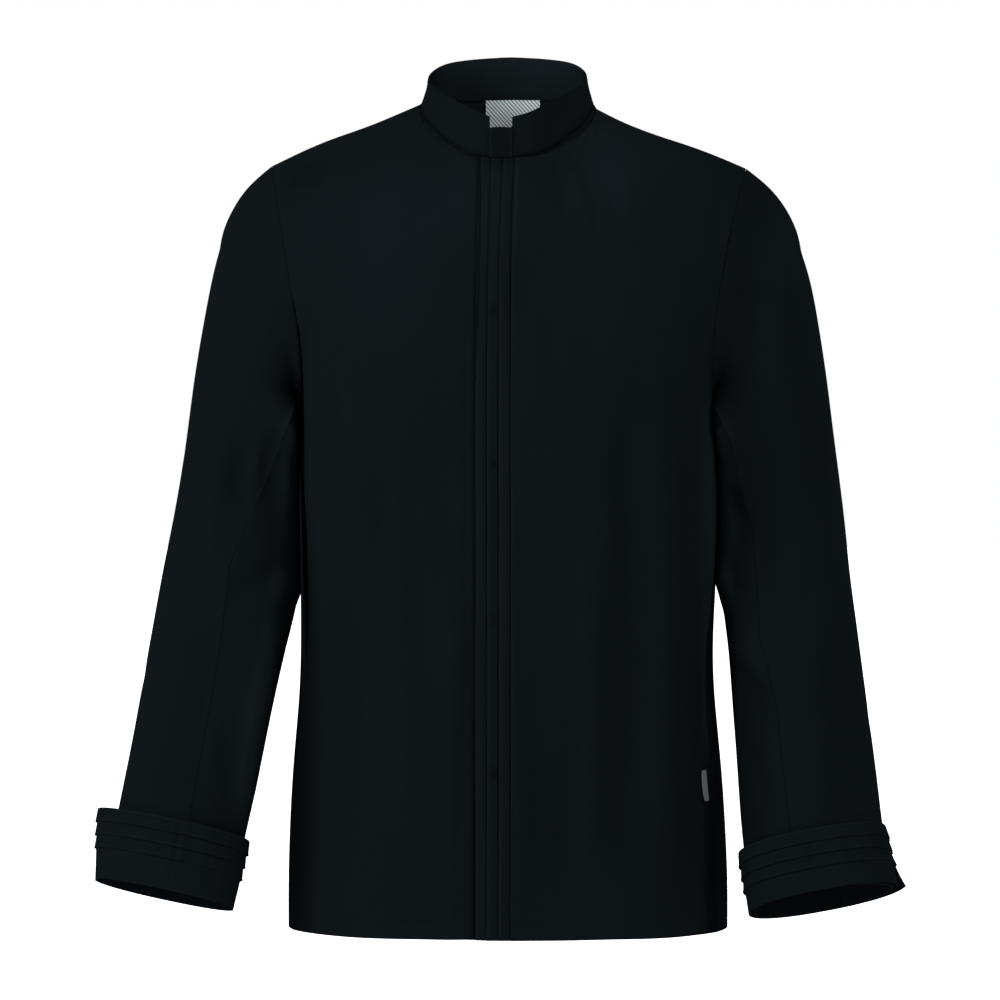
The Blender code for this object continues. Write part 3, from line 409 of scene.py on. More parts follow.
# creases: face, line in x and z, half width, depth outward, all in millimetres
front_creases = (
    ("front", ((-84, -6), (-112, -23), (-140, -38), (-170, -54), (-198, -68), (-212, -80)), 6.5, -5.2),
    ("front", ((-92, -26), (-130, -50), (-170, -74)), 10.0, 2.6),
    ("front", ((87, -8), (123, -27), (169, -45)), 8.0, -2.4),
    ("front", ((48, -46), (51, -66), (56, -100)), 6.0, -2.0),
    ("front", ((62, -44), (68, -80), (76, -130)), 9.0, 2.6),
    ("front", ((84, -40), (98, -80), (110, -120)), 9.0, -1.6),
    ("front", ((-60, -50), (-72, -90), (-84, -140)), 12.0, -1.4),
    ("front", ((-193, -190), (-195, -271), (-194, -345), (-192, -400), (-190, -470), (-194, -550)),
     9.0, -5.5),
    ("front", ((-178, -230), (-175, -300), (-170, -400), (-167, -470), (-172, -560)), 12.0, 2.6),
    ("front", ((-157, -250), (-160, -320), (-158, -385)), 9.0, -2.6),
    ("front", ((-140, -255), (-138, -330), (-134, -400)), 10.0, 3.2),
    ("front", ((-112, -290), (-110, -380), (-108, -450)), 10.0, -3.0),
    ("front", ((-96, -300), (-92, -420), (-90, -540), (-86, -660)), 11.0, 3.2),
    ("front", ((-150, -420), (-146, -540), (-148, -640)), 12.0, -2.0),
    ("front", ((-126, -460), (-120, -560), (-122, -680)), 10.0, 2.0),
    ("front", ((-66, -400), (-60, -560), (-58, -700)), 12.0, -2.4),
    ("front", ((-44, -420), (-42, -520), (-46, -600)), 9.0, 1.8),
    ("front", ((-36, -560), (-36, -660), (-35, -765)), 8.0, -2.0),
    ("front", ((36, -520), (34, -620), (36, -740)), 12.0, -2.2),
    ("front", ((78, -410), (82, -560), (80, -700)), 12.0, 3.4),
    ("front", ((112, -280), (117, -400), (114, -560), (116, -700)), 14.0, -4.2),
    ("front", ((146, -260), (152, -380), (147, -520), (150, -650)), 13.0, 2.4),
    ("front", ((170, -230), (168, -350), (171, -470), (168, -600)), 9.0, -1.4),
    ("front", ((178, -300), (181, -400), (178, -500)), 12.0, 2.0),
    ("front", ((176, -600), (172, -680), (174, -765)), 10.0, -1.8),
    ("front", ((44, -180), (47, -260), (42, -330)), 12.0, -1.6),
    ("front", ((140, -90), (150, -150), (152, -210)), 16.0, -1.8),
)
back_creases = (
    ("back", ((-180, -240), (-150, -300), (-128, -380)), 13.0, -2.6),
    ("back", ((-196, -280), (-172, -345), (-160, -420)), 11.0, 2.2),
    ("back", ((182, -236), (154, -300), (134, -390)), 13.0, -2.4),
    ("back", ((170, -330), (150, -420), (146, -500)), 12.0, 2.0),
    ("back", ((-60, -60), (-84, -110), (-104, -170)), 14.0, -1.6),
    ("back", ((58, -62), (80, -114), (96, -180)), 14.0, -1.4),
    ("back", ((-30, -420), (-34, -540), (-20, -690)), 17.0, 2.4),
    ("back", ((34, -380), (46, -500), (40, -650)), 15.0, -2.4),
    ("back", ((92, -460), (88, -600), (98, -765)), 17.0, 2.4),
    ("back", ((-92, -470), (-104, -610), (-96, -765)), 16.0, -2.2),
    ("back", ((-150, -520), (-146, -640), (-152, -760)), 13.0, 2.0),
    ("back", ((142, -560), (150, -660), (146, -765)), 13.0, -2.0),
    ("back", ((-110, -24), (-150, -44), (-190, -66)), 8.0, -1.8),
    ("back", ((112, -26), (152, -46), (192, -68)), 8.0, -1.8),
)

# the wearer's right front dips back where it runs in under the band
under_band = (
    ("front", ((-27, -62), (-28, -200), (-28, -400), (-28, -600), (-28, -800)), 6.0, -1.6),
)
# the band's four fold edges, in x
band_folds = (-21.4, -11.2, -0.6, 10.2)
# the hidden press studs pull small hollows into the band
stud_x = -5.6
stud_heights = (-193.0, -331.0, -470.5, -610.0)
stud_hollow = 0.5

# painted light and shade: the cloth's colour is drawn paler in a few broad areas where more light falls,
# and darker in others:
# middle in x and z, half sizes, amount
front_painted_light = (
    (-104, -130, 72, 105, 0.26),
    (-12, -92, 34, 40, 0.30),
    (90, -62, 34, 52, 0.48),
    (88, -165, 60, 70, 0.16),
    (150, -56, 38, 30, 0.16),
    (81, -560, 14, 170, 0.12),
    (118, -520, 18, 240, -0.10),
    (44, -665, 18, 80, -0.10),
    (-28, -400, 9, 270, 0.15),
    (-137, -290, 22, 90, 0.08),
    (85, -12, 30, 20, 0.25),
    (-190, -62, 24, 16, -0.2),
)


def front_painted_light_at(x, z):
    """Sum of the broad areas of painted light and shade at each point, in millimetres."""
    return sum(amount * bump(x, at_x, wide) * bump(z, at_z, high)
               for at_x, at_z, wide, high, amount in front_painted_light)


def band_painted_light(co):
    """Painted highlights on the band's fold edges and painted shade where the next fold lies on the cloth,
    in the stud hollows, under the collar and by the side seam low down; painted light beside the sleeve.
    """
    x, z = co[:, 0] * 1000.0, co[:, 2] * 1000.0
    amount = np.zeros(len(co))
    # painted highlight beside each fold edge, painted shade under the next fold
    for fold in band_folds:
        amount += 0.42 * bump(x, fold + 1.0, 0.9)
        if fold != band_folds[0]:
            amount -= 0.6 * bump(x, fold - 0.9, 0.8)
    # painted shade in each stud hollow
    for stud_z in stud_heights:
        amount -= 0.42 * bump(x, stud_x, 3.2) * bump(z, stud_z, 5.0)
    # painted shade under the collar and by the low side seam, painted highlight at the outer fold's top,
    # painted light beside the sleeve
    under_collar = bump(x, -5.0, 16.0) * bump(z, -55.0, 5.0)
    outer_fold_top = bump(x, 11.8, 1.4) * (1.0 - ease(-z, 70.0, 170.0))
    low_side_seam = ease(x, 180.0, 191.0) * ease(-z, 585.0, 640.0)
    beside_sleeve = np.interp(-z, (250, 290, 450, 500, 570, 605), (0.0, 0.75, 0.75, 1.5, 1.5, 0.0))
    amount += 0.5 * outer_fold_top - 0.3 * under_collar - 0.5 * low_side_seam
    amount += beside_sleeve * ease(x, 176.0, 191.0)
    return (amount + front_painted_light_at(x, z)) * (co[:, 1] < 0.0)


def under_band_painted_shading(co):
    """Painted shade where the band lies on the right front, low down by its edge and along its side seam;
    painted light beside the sleeve.
    """
    x, z = co[:, 0] * 1000.0, co[:, 2] * 1000.0
    under_edge = bump(x, -23.0, 2.6)
    low_by_edge = bump(x, -26.0, 5.0) * ease(-z, 420.0, 700.0)
    low_side_seam = ease(-x, 162.0, 184.0) * ease(-z, 380.0, 450.0)
    beside_sleeve = ease(-x, 182.0, 191.0) * ease(-z, 250.0, 290.0) * (1.0 - ease(-z, 400.0, 440.0))
    amount = 0.7 * beside_sleeve - 0.5 * under_edge - 0.2 * low_by_edge - 0.38 * low_side_seam
    return (amount + front_painted_light_at(x, z)) * (co[:, 1] < 0.0)


def back_painted_light(co):
    """Painted shade toward the side seams low down, and painted light on the inside of the neck."""
    x, z = co[:, 0] * 1000.0, co[:, 2] * 1000.0
    normal = points_of(bpy.data.objects["cloth_back"], "normal")
    inside = ease(-normal[:, 1], 0.3, 0.6) * (co[:, 1] > 0.0)
    low_side_seams = ease(np.abs(x), 178.0, 192.0) * ease(-z, 520.0, 680.0)
    return 1.4 * inside * ease(z, -40.0, -15.0) - 0.32 * low_side_seams


panels = []
for node, rows, to_cloth, painted_light_at, flat, area in (
        ("front_left", front_creases, body_flat, band_painted_light, (0.30, 0.775), 0.190),
        ("front_right", under_band + front_creases, body_flat, under_band_painted_shading, (0.29, 0.775), 0.186),
        ("back", back_creases, back_flat, back_painted_light, (0.60, 0.79), 0.425)):
    panel = dressed_copy(node, 3)
    push_cloth(panel, body_outward, rows)
    if node == "front_left":
        co = points_of(panel)
        hollow = sum(bump(co[:, 2] * 1000.0, stud_z, 5.5) for stud_z in stud_heights)
        hollow *= bump(co[:, 0] * 1000.0, stud_x, 4.0) * (co[:, 1] < 0.0)
        co[:, 1] += 0.001 * stud_hollow * hollow
        move_points(panel, co)
    # painted light and shade drawn into the panel's colour
    tone_and_painted_light(panel, painted_light_at)
    cloth_map(panel, to_cloth)
    finish_cloth(panel, node, black_twill)
    panels.append(panel)


def surface_of(pieces):
    """Finished pieces as one surface that rays can be cast on."""
    corners = []
    faces = []
    for piece in pieces:
        start = len(corners)
        corners.extend(vertex.co.copy() for vertex in piece.data.vertices)
        faces.extend([start + i for i in face.vertices] for face in piece.data.polygons)
    return BVHTree.FromPolygons(corners, faces)


def lay_on(surface, starts, aim):
    """Places and outward normals where rays from the starts first meet the cloth."""
    places = []
    normals = []
    for start in starts:
        direction = (Vector(aim(start))).normalized()
        hit, normal, _, _ = surface.ray_cast(Vector(start), direction, 2.0)
        if hit is None:
            continue
        places.append(hit)
        normals.append(normal if normal.dot(direction) < 0.0 else -normal)
    return np.array(places), np.array(normals)


def from_front(start):
    return (0.0, 1.0, 0.0)


def fold_roll(name, places, normals, radius, sink, to_cloth, painted_highlight):
    """Round roll of cloth along a pressed fold edge, its colour drawn paler by a painted highlight."""
    curve = bpy.data.curves.new(name, "CURVE")
    curve.dimensions = "3D"
    curve.bevel_depth = radius
    curve.bevel_resolution = 2
    curve.use_fill_caps = True
    line = curve.splines.new("POLY")
    line.points.add(len(places) - 1)
    for point, place, normal in zip(line.points, places, normals):
        point.co = (*(place - normal * sink), 1.0)
    roll = bpy.data.objects.new(name, curve)
    bpy.context.scene.collection.objects.link(roll)
    select_only(roll)
    bpy.ops.object.convert(target="MESH")
    roll = bpy.context.object
    bpy.ops.object.shade_smooth()
    tone_and_painted_light(roll, lambda co: np.full(len(co), painted_highlight))
    cloth_map(roll, to_cloth)
    roll.data.materials.append(black_twill)
    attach(roll, "root")


# the band's pressed folds: each fold edge is a soft round roll that stands a little proud, with a painted
# highlight drawn on it
front_surface = surface_of(panels[:2])
for number, fold_x in enumerate(band_folds):
    starts = [((fold_x + 0.45) * 0.001, -1.0, z * 0.001) for z in np.linspace(-60.0, -757.0, 120)]
    places, normals = lay_on(front_surface, starts, from_front)
    fold_roll("band_fold_%d" % (number + 1), places, normals, radius=0.0007, sink=0.0003,
              to_cloth=body_flat, painted_highlight=0.45)

# lockstitch: black thread, one short capsule a stitch, half sunk in the cloth
thread = bpy.data.materials.new("black_thread")
thread.use_nodes = True
thread_tree = thread.node_tree
thread_shader = thread_tree.nodes["Principled BSDF"]
thread_shader.inputs["Roughness"].default_value = 0.5
thread_shader.inputs["Specular IOR Level"].default_value = 0.0
thread_place = thread_tree.nodes.new("ShaderNodeTexCoord")
thread_twist = thread_tree.nodes.new("ShaderNodeTexNoise")
thread_twist.inputs["Scale"].default_value = 2600.0
thread_tree.links.new(thread_place.outputs["Object"], thread_twist.inputs["Vector"])
thread_colour = two_shades(thread_tree, (0.0024, 0.0035, 0.0043), (0.0050, 0.0073, 0.0087),
                           thread_twist.outputs["Fac"])
thread_tree.links.new(thread_colour, thread_shader.inputs["Base Color"])
thread_relief = relief(thread_tree, thread_twist.outputs["Fac"], 0.4, 0.0001)
thread_tree.links.new(thread_relief.outputs["Normal"], thread_shader.inputs["Normal"])

bpy.ops.object.select_all(action="DESELECT")
bpy.ops.mesh.primitive_uv_sphere_add(segments=6, ring_count=4, radius=1.0)
stitch_form = bpy.context.object
stitch_points = np.array([tuple(vertex.co) for vertex in stitch_form.data.vertices])
stitch_faces = [tuple(face.vertices) for face in stitch_form.data.polygons]
bpy.data.objects.remove(stitch_form, do_unlink=True)


def stitch_row(name, places, normals, pitch=0.0027, length=0.0021, thick=0.00042):
    """A row of copies of the one stitch, evenly spaced along a line laid on the cloth."""
    steps = np.linalg.norm(np.diff(places, axis=0), axis=1)
    run = np.concatenate(([0.0], np.cumsum(steps)))
    at = np.arange(0.5 * pitch, run[-1], pitch)
    look_ahead = 0.0004
    middle = np.stack([np.interp(at, run, places[:, k]) for k in range(3)], axis=1)
    ahead = np.stack([np.interp(at + look_ahead, run, places[:, k]) for k in range(3)], axis=1)
    up = np.stack([np.interp(at, run, normals[:, k]) for k in range(3)], axis=1)
    along = ahead - middle
    good = np.linalg.norm(along, axis=1) > 1e-6
    middle, along, up = middle[good], along[good], up[good]
    along = along / np.linalg.norm(along, axis=1, keepdims=True)
    aside = np.cross(up, along)
    aside = aside / np.linalg.norm(aside, axis=1, keepdims=True)
    up = np.cross(along, aside)
    points = []
    faces = []
    for n in range(len(middle)):
        base = len(points)
        form = (middle[n] + up[n] * thick * 0.15
                + np.outer(stitch_points[:, 2] * length * 0.5, along[n])
                + np.outer(stitch_points[:, 0] * thick * 0.5, aside[n])
                + np.outer(stitch_points[:, 1] * thick * 0.5, up[n]))
        points.extend(form.tolist())
        faces.extend(tuple(base + i for i in face) for face in stitch_faces)
    mesh = bpy.data.meshes.new(name)
    mesh.from_pydata(points, [], faces)
    row = bpy.data.objects.new(name, mesh)
    bpy.context.scene.collection.objects.link(row)
    select_only(row)
    bpy.ops.object.mode_set(mode="EDIT")
    bpy.ops.mesh.select_all(action="SELECT")
    bpy.ops.mesh.normals_make_consistent(inside=False)
    bpy.ops.object.mode_set(mode="OBJECT")
    bpy.ops.object.shade_smooth()
    row.data.materials.append(thread)
    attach(row, "root")


def toward_middle(start):
    return (-start[0], -start[1], 0.0)


def round_body(z, first, last, count):
    """Starts of rays round the body at one height in millimetres; turn 0 is the centre front."""
    turns = np.radians(np.linspace(first, last, count))
    return [(math.sin(t), -math.cos(t), z * 0.001) for t in turns]


# hem: turned up once and stitched through 16.5 mm above its edge, panel by panel
hem_seam = -742.5
for number, (panel, first, last) in enumerate(((panels[0], -6.0, 112.0), (panels[1], -112.0, -4.0),
                                               (panels[2], 96.0, 264.0))):
    starts = round_body(hem_seam, first, last, 400)
    places, normals = lay_on(surface_of([panel]), starts, toward_middle)
    stitch_row("hem_stitches_%d" % (number + 1), places, normals)

# ==== sleeves ===============================================================================
# Two-piece sleeves: a wide top piece and a narrower under piece, joined by two long seams that
# swing round to the middle of the forearm. The same twill, soft at the elbow.

# points down the middle of each sleeve: x, y and z in millimetres
sleeve_line = {
    1: ((207, -1, -165), (228, 2, -180), (240, 10, -230), (246, 22, -290), (250, 26, -364), (255, 6, -440),
        (263, -14, -486), (268, -35, -536), (273, -55, -586), (278, -74, -632), (283, -90, -676),
        (290, -100, -715)),
    -1: ((-207, -1, -165), (-228, 2, -180), (-240, 10, -230), (-246, 22, -290), (-250, 26, -364),
         (-257, 6, -440), (-264, -14, -486), (-272, -35, -536), (-279, -55, -586), (-286, -74, -632),
         (-293, -90, -676), (-301, -100, -715)),
}


def sleeve_middle(side, level):
    """Middle of a sleeve at each level, all in metres."""
    line = np.array(sleeve_line[side], dtype=float) * 0.001
    return np.stack([np.interp(-level, -line[:, 2], line[:, k]) for k in range(3)], axis=1)


def sleeve_outward_of(side):
    """Direction away from the middle of a sleeve."""
    def outward_of(co):
        out = co - sleeve_middle(side, co[:, 2])
        out[:, 2] *= 0.4
        return out / np.maximum(np.linalg.norm(out, axis=1, keepdims=True), 1e-6)
    return outward_of


def sleeve_flat_of(side):
    """Cloth coordinates of a sleeve or cuff, which open out at its outer side."""
    sleeve_radius = 0.062

    def to_cloth(co):
        out = co - sleeve_middle(side, co[:, 2])
        turn = np.arctan2(out[:, 1], out[:, 0] * side)
        return np.stack((turn * sleeve_radius, co[:, 2]), axis=1)
    return to_cloth


# the hanging sleeve lies flatter at its front and back than a round tube: half width of its
# cross section by height, and how strongly its inner side is squared by height
half_heights = (-0.676, -0.632, -0.586, -0.536, -0.486, -0.44, -0.40,
                -0.364, -0.32, -0.29, -0.27, -0.25, -0.20)
sleeve_half = {
    -1: (0.055, 0.0557, 0.0558, 0.0565, 0.0580, 0.0597, 0.0585,
         0.0558, 0.0539, 0.052, 0.0515, 0.0545, 0.056),
    1: (0.065, 0.064, 0.0621, 0.0608, 0.0592, 0.0585, 0.0575,
        0.0557, 0.0538, 0.052, 0.0515, 0.0545, 0.056),
}
sleeve_square = {
    -1: ((-0.655, -0.61, -0.29, -0.25), (0.0, 1.0, 1.0, 0.0)),
    1: ((-0.655, -0.60, -0.54, -0.46, -0.29, -0.25), (0.0, 0.1, 0.3, 1.0, 1.0, 0.0)),
}
# how far its front seam wanders outward from the straight line, as a share of the half width
seam_wander = {
    -1: ((-0.72, -0.68, -0.64, -0.59, -0.53, -0.48, -0.455, -0.425, -0.39, -0.362, -0.32, -0.29, -0.26),
         (-0.13, -0.12, -0.09, -0.04, 0.03, 0.17, 0.26, 0.40, 0.31, 0.21, -0.02, 0.0, 0.0)),
    1: ((-0.72, -0.66, -0.60, -0.56, -0.515, -0.49, -0.465, -0.43, -0.39, -0.35, -0.30, -0.26),
        (-0.19, -0.23, -0.22, -0.18, -0.20, -0.27, -0.20, -0.07, 0.02, -0.08, 0.0, 0.0)),
}
# how far the inner side of each sleeve is leant on the trunk, down its length
sleeve_rest = {
    -1: ((-0.45, -0.435, -0.30, -0.275, -0.262, -0.255),
         (0.0, 0.0032, 0.0034, 0.0046, 0.0040, 0.0)),
    1: ((-0.455, -0.437, -0.424, -0.405, -0.38, -0.30, -0.282, -0.268, -0.254, -0.244),
        (0.0, 0.0032, 0.0062, 0.0054, 0.0027, 0.0025, 0.0046, 0.0062, 0.0046, 0.0)),
}


def oval(across, power):
    """Half depth of a cross section at a share of its half width; a high power squares it."""
    return (1.0 - np.abs(across) ** power) ** (1.0 / power)


def square_sleeve(piece, side):
    """Flatten a sleeve, square its inner side, shift its front seam and lean it on the trunk."""
    round_power = 2.25
    square_power = 7.0
    most_gain = 2.2
    ring_tilt = 0.22
    co = points_of(piece)
    level = co[:, 2] - ring_tilt * side * (co[:, 0] - sleeve_middle(side, co[:, 2])[:, 0])
    middle = sleeve_middle(side, level)
    half = np.interp(level, half_heights, sleeve_half[side])
    across = np.clip(side * (co[:, 0] - middle[:, 0]) / half, -0.97, 0.97)
    wander = np.interp(co[:, 2], *seam_wander[side]) * ease(middle[:, 1] - co[:, 1], 0.004, 0.02)
    moved = across + wander * (1.0 - across ** 2)
    inner = ease(-moved, 0.0, 0.3) * np.interp(level, *sleeve_square[side])
    rounded = oval(moved, round_power)
    squared = oval(moved, square_power)
    depth = rounded + (squared - rounded) * inner
    gain = np.minimum(depth / oval(across, round_power), most_gain)
    lean = np.interp(level, *sleeve_rest[side]) * ease(-across, 0.3, 0.9)
    co[:, 0] += side * ((moved - across) * half - lean)
    co[:, 1] = middle[:, 1] + (co[:, 1] - middle[:, 1]) * gain
    move_points(piece, co)


# painted light and shade in broad soft patches on the left upper sleeve: x, z and half sizes in metres,
# amount
left_sleeve_painted_light = (
    (0.220, -0.18, 0.016, 0.09, -0.18),
    (0.258, -0.13, 0.016, 0.05, 0.16),
    (0.288, -0.31, 0.018, 0.05, -0.14),
)


def sleeve_painted_light_of(side):
    """Painted light on the inner side of a sleeve where it lies along the trunk in its shadow, with
    painted shade and light in a few patches.
    """
    def amount_at(co):
        x, down = co[:, 0], -co[:, 2]
        middle = sleeve_middle(side, co[:, 2])
        front = ease(middle[:, 1] - co[:, 1], -0.02, 0.02)
        inner = front * ease(side * (middle[:, 0] - x), 0.032, 0.058)
        beside_trunk = ease(down, 0.275, 0.325) * (1.0 - ease(down, 0.43, 0.48))
        # painted light beside the trunk and hip; painted shade in a few places lower down
        if side < 0:
            beside_hip = ease(down, 0.43, 0.48) * (1.0 - ease(down, 0.62, 0.68))
            amount = inner * (1.3 * beside_trunk + 0.9 * beside_hip)
            amount -= 0.2 * front * bump(x, -0.250, 0.016) * ease(down, 0.56, 0.62)
        else:
            amount = inner * beside_trunk
            amount -= 0.28 * bump(x, 0.224, 0.02) * ease(down, 0.49, 0.56)
            amount -= 0.14 * bump(x, 0.300, 0.02) * ease(down, 0.46, 0.52)
            for at_x, at_z, wide, high, shade in left_sleeve_painted_light:
                amount += shade * front * bump(x, at_x, wide) * bump(-down, at_z, high)
        return amount
    return amount_at


# creases as on the panels: face, line in x (or y) and z, half width, depth outward
sleeve_creases = {
    -1: (
        ("front", ((-198, -416), (-224, -438), (-258, -454)), 12.0, -3.2),
        ("front", ((-212, -458), (-240, -468), (-268, -468)), 12.0, 2.0),
        ("front", ((-246, -316), (-248, -345), (-245, -370)), 9.5, -2.6),
        ("front", ((-228, -312), (-232, -340), (-234, -366)), 7.0, 1.8),
        ("front", ((-210, -300), (-216, -330), (-214, -362)), 10.0, -2.0),
        ("front", ((-262, -300), (-270, -360), (-282, -420)), 13.0, 2.0),
        ("front", ((-268, -520), (-274, -570), (-280, -610)), 9.0, -1.8),
        ("front", ((-238, -540), (-246, -580), (-256, -620)), 12.0, -2.2),
        ("front", ((-292, -470), (-300, -540), (-312, -610)), 12.0, 2.0),
        ("front", ((-262, -612), (-284, -622), (-310, -624)), 9.0, -1.8),
        ("front", ((-226, -120), (-240, -170), (-250, -230)), 12.0, -1.8),
        ("front", ((-246, -96), (-262, -150), (-270, -210)), 11.0, 1.4),
        ("back", ((-206, -420), (-246, -440), (-300, -430)), 9.0, -4.4),
        ("back", ((-214, -390), (-256, -404), (-302, -392)), 9.0, 2.8),
        ("back", ((-216, -460), (-262, -478), (-312, -470)), 9.0, 2.4),
        ("back", ((-222, -500), (-262, -516), (-312, -520)), 9.0, -3.2),
        ("back", ((-206, -290), (-228, -330), (-252, -362)), 10.0, -3.0),
        ("back", ((-250, -590), (-286, -600), (-326, -592)), 9.0, -2.6),
        ("right", ((-60, -520), (-30, -534), (4, -530)), 12.0, -0.5),
    ),
    1: (
        ("front", ((206, -510), (220, -530), (240, -548)), 7.0, -3.2),
        ("front", ((218, -500), (234, -518), (254, -534)), 8.0, 1.6),
        ("front", ((226, -590), (232, -620), (236, -648)), 9.0, -2.0),
        ("front", ((198, -346), (208, -374), (222, -388)), 10.0, -3.4),
        ("front", ((200, -416), (206, -434), (212, -452)), 8.0, -2.4),
        ("front", ((212, -404), (222, -424), (228, -444)), 9.0, 1.8),
        ("front", ((238, -466), (242, -478), (244, -490)), 8.0, -1.8),
        ("front", ((256, -400), (262, -440), (264, -480)), 13.0, 2.4),
        ("front", ((262, -500), (268, -530), (272, -560)), 11.0, 1.8),
        ("front", ((280, -270), (286, -296), (288, -320)), 12.0, -2.4),
        ("front", ((300, -500), (304, -560), (308, -620)), 12.0, -2.4),
        ("front", ((212, -110), (220, -170), (226, -250)), 15.0, -3.4),
        ("front", ((246, -96), (256, -150), (262, -210)), 12.0, 2.6),
        ("back", ((206, -410), (246, -434), (300, -428)), 9.0, -4.2),
        ("back", ((212, -380), (256, -398), (302, -390)), 9.0, 2.6),
        ("back", ((216, -456), (262, -476), (312, -466)), 9.0, 2.4),
        ("back", ((222, -510), (262, -520), (308, -512)), 9.0, -3.0),
        ("back", ((206, -296), (228, -334), (250, -360)), 10.0, -2.8),
        ("back", ((246, -600), (282, -610), (320, -602)), 9.0, -2.6),
        ("left", ((-60, -560), (-30, -574), (4, -566)), 12.0, -0.5),
    ),
}
for side, tag in ((1, "left"), (-1, "right")):
    for part, flat, area in (("sleeve_top_", (0.32, 0.66), 0.131),
                             ("sleeve_under_", (0.21, 0.56), 0.089)):
        node = part + tag
        tube = dressed_copy(node, 3)
        square_sleeve(tube, side)
        push_cloth(tube, sleeve_outward_of(side), sleeve_creases[side])
        tone_and_painted_light(tube, sleeve_painted_light_of(side))
        cloth_map(tube, sleeve_flat_of(side))
        finish_cloth(tube, node, black_twill)

# ==== cuffs =================================================================================
# Turned-back cuffs with three pressed tucks that run round them, open at the outer side. They
# are faced double, so they stand a little stiffer than the sleeve.

# tucks: how far each lies below the top edge, in millimetres
cuff_tucks = (12.8, 24.7, 36.3)
# soft puckers across the tucks: turn round the cuff and half width in degrees, height in
# millimetres
cuff_puckers = (
    (8, 3.0, 0.5), (21, 3.5, -0.6), (38, 4.0, 0.6), (55, 3.0, -0.7), (63, 3.0, 0.8),
    (76, 4.0, -0.6), (88, 2.6, 0.9), (95, 2.4, -0.9), (101, 2.6, 0.8), (112, 4.0, -0.6),
    (127, 4.0, 0.6), (143, 4.0, -0.6), (160, 4.0, 0.5), (-24, 5.0, 0.5), (-47, 4.5, -0.6),
    (-70, 5.0, 0.6), (-92, 4.0, -0.6), (-118, 5.0, 0.6), (-146, 5.0, -0.5),
)


def cuff_frame(out_x, in_x, tilt, run_in):
    """Middle of the cuff's foot and its three directions: outward, forward and down the sleeve.

    The cuff's top edge runs from out_x to in_x, leans by the tilt and stands run_in above it.
    """
    top_y = -90.0
    out = np.array((out_x, top_y, -664.0))
    inner = np.array((in_x, top_y, -688.0))
    chord = (out - inner) / np.linalg.norm(out - inner)
    deep = np.array((0.0, -1.0, tilt)) / math.hypot(1.0, tilt)
    down = np.cross(deep, chord)
    down = down / np.linalg.norm(down) * (1.0 if down[2] < 0.0 else -1.0)
    return 0.5 * (out + inner) + down * run_in, chord, deep, down


# side, its name, height of the cuff and its frame in millimetres, flat size and area in metres
for side, tag, height, foot, flat, area in (
        (1, "left", 56.5, cuff_frame(344.5, 217.5, 0.33, 52.5), (0.42, 0.062), 0.0222),
        (-1, "right", 64.0, cuff_frame(355.0, 238.0, 0.23, 50.0), (0.42, 0.068), 0.0243)):
    middle, chord, deep, down = foot
    mirror = np.array((side, 1.0, 1.0))

    def below_top(co):
        """How far down the cuff a point lies from its top edge, in millimetres."""
        return height + (co * mirror * 1000.0 - middle) @ down

    def cuff_painted_highlights(co):
        """Painted highlights along the top edge and to both sides of each tuck."""
        drop = below_top(co)
        amount = 0.3 * bump(drop, 0.5, 1.0)
        for tuck in cuff_tucks:
            amount += 0.15 * bump(drop, tuck - 1.2, 1.0) + 0.15 * bump(drop, tuck + 0.9, 1.0)
        return amount

    def round_cuff(drop):
        """Starts of rays round the cuff, well outside it, from one edge of its opening to the other."""
        turns = np.radians(np.linspace(7.0, 353.0, 130))
        around = np.outer(np.cos(turns), chord) + np.outer(np.sin(turns), deep)
        ring = middle - down * (height - drop) + 110.0 * around
        return [tuple(place) for place in ring * mirror * 0.001]

    def toward_cuff(start):
        place = np.array(start) * mirror * 1000.0
        return tuple((middle + down * ((place - middle) @ down) - place) * mirror)

    cuff = dressed_copy("cuff_" + tag, 3)
    co = points_of(cuff)
    place = co * mirror * 1000.0 - middle
    turn = np.degrees(np.arctan2(place @ deep, place @ chord))
    raised = sum(rise * bump(turn, at, wide) for at, wide, rise in cuff_puckers)
    raised *= bump(below_top(co), 24.0, 22.0)
    away = place - np.outer(place @ down, down)
    away /= np.linalg.norm(away, axis=1, keepdims=True)
    move_points(cuff, co + away * mirror * raised[:, None] * 0.001)
    tone_and_painted_light(cuff, cuff_painted_highlights)
    cloth_map(cuff, sleeve_flat_of(side))
    finish_cloth(cuff, "cuff_" + tag, black_twill)
    cuff_surface = surface_of([cuff])
    # each tuck's fold edge is a round roll with a faint painted highlight drawn on it
    for number, tuck in enumerate(cuff_tucks):
        places, normals = lay_on(cuff_surface, round_cuff(tuck - 0.8), toward_cuff)
        fold_roll("cuff_fold_%s_%d" % (tag, number + 1), places, normals, radius=0.0006,
                  sink=0.00015, to_cloth=sleeve_flat_of(side), painted_highlight=0.15)
    places, normals = lay_on(cuff_surface, round_cuff(3.2), toward_cuff)
    stitch_row("cuff_stitches_" + tag, places, normals)

# ==== collar and tab ========================================================================
# A faced stand collar of the same twill, notched open at the centre front and sewn into the neck
# seam. A short tab is stitched in the notch.
neck_y = -0.008


def neck_seam_height(turn):
    """Height of the collar's lower edge in millimetres; turn 0 is the centre front."""
    return np.interp(turn, (0, 18, 31, 42, 53, 69, 90, 110, 140, 180),
                     (-51.3, -49.8, -45.7, -38.9, -30.3, -15.8, 1.7, 7.2, 11.7, 13.7))


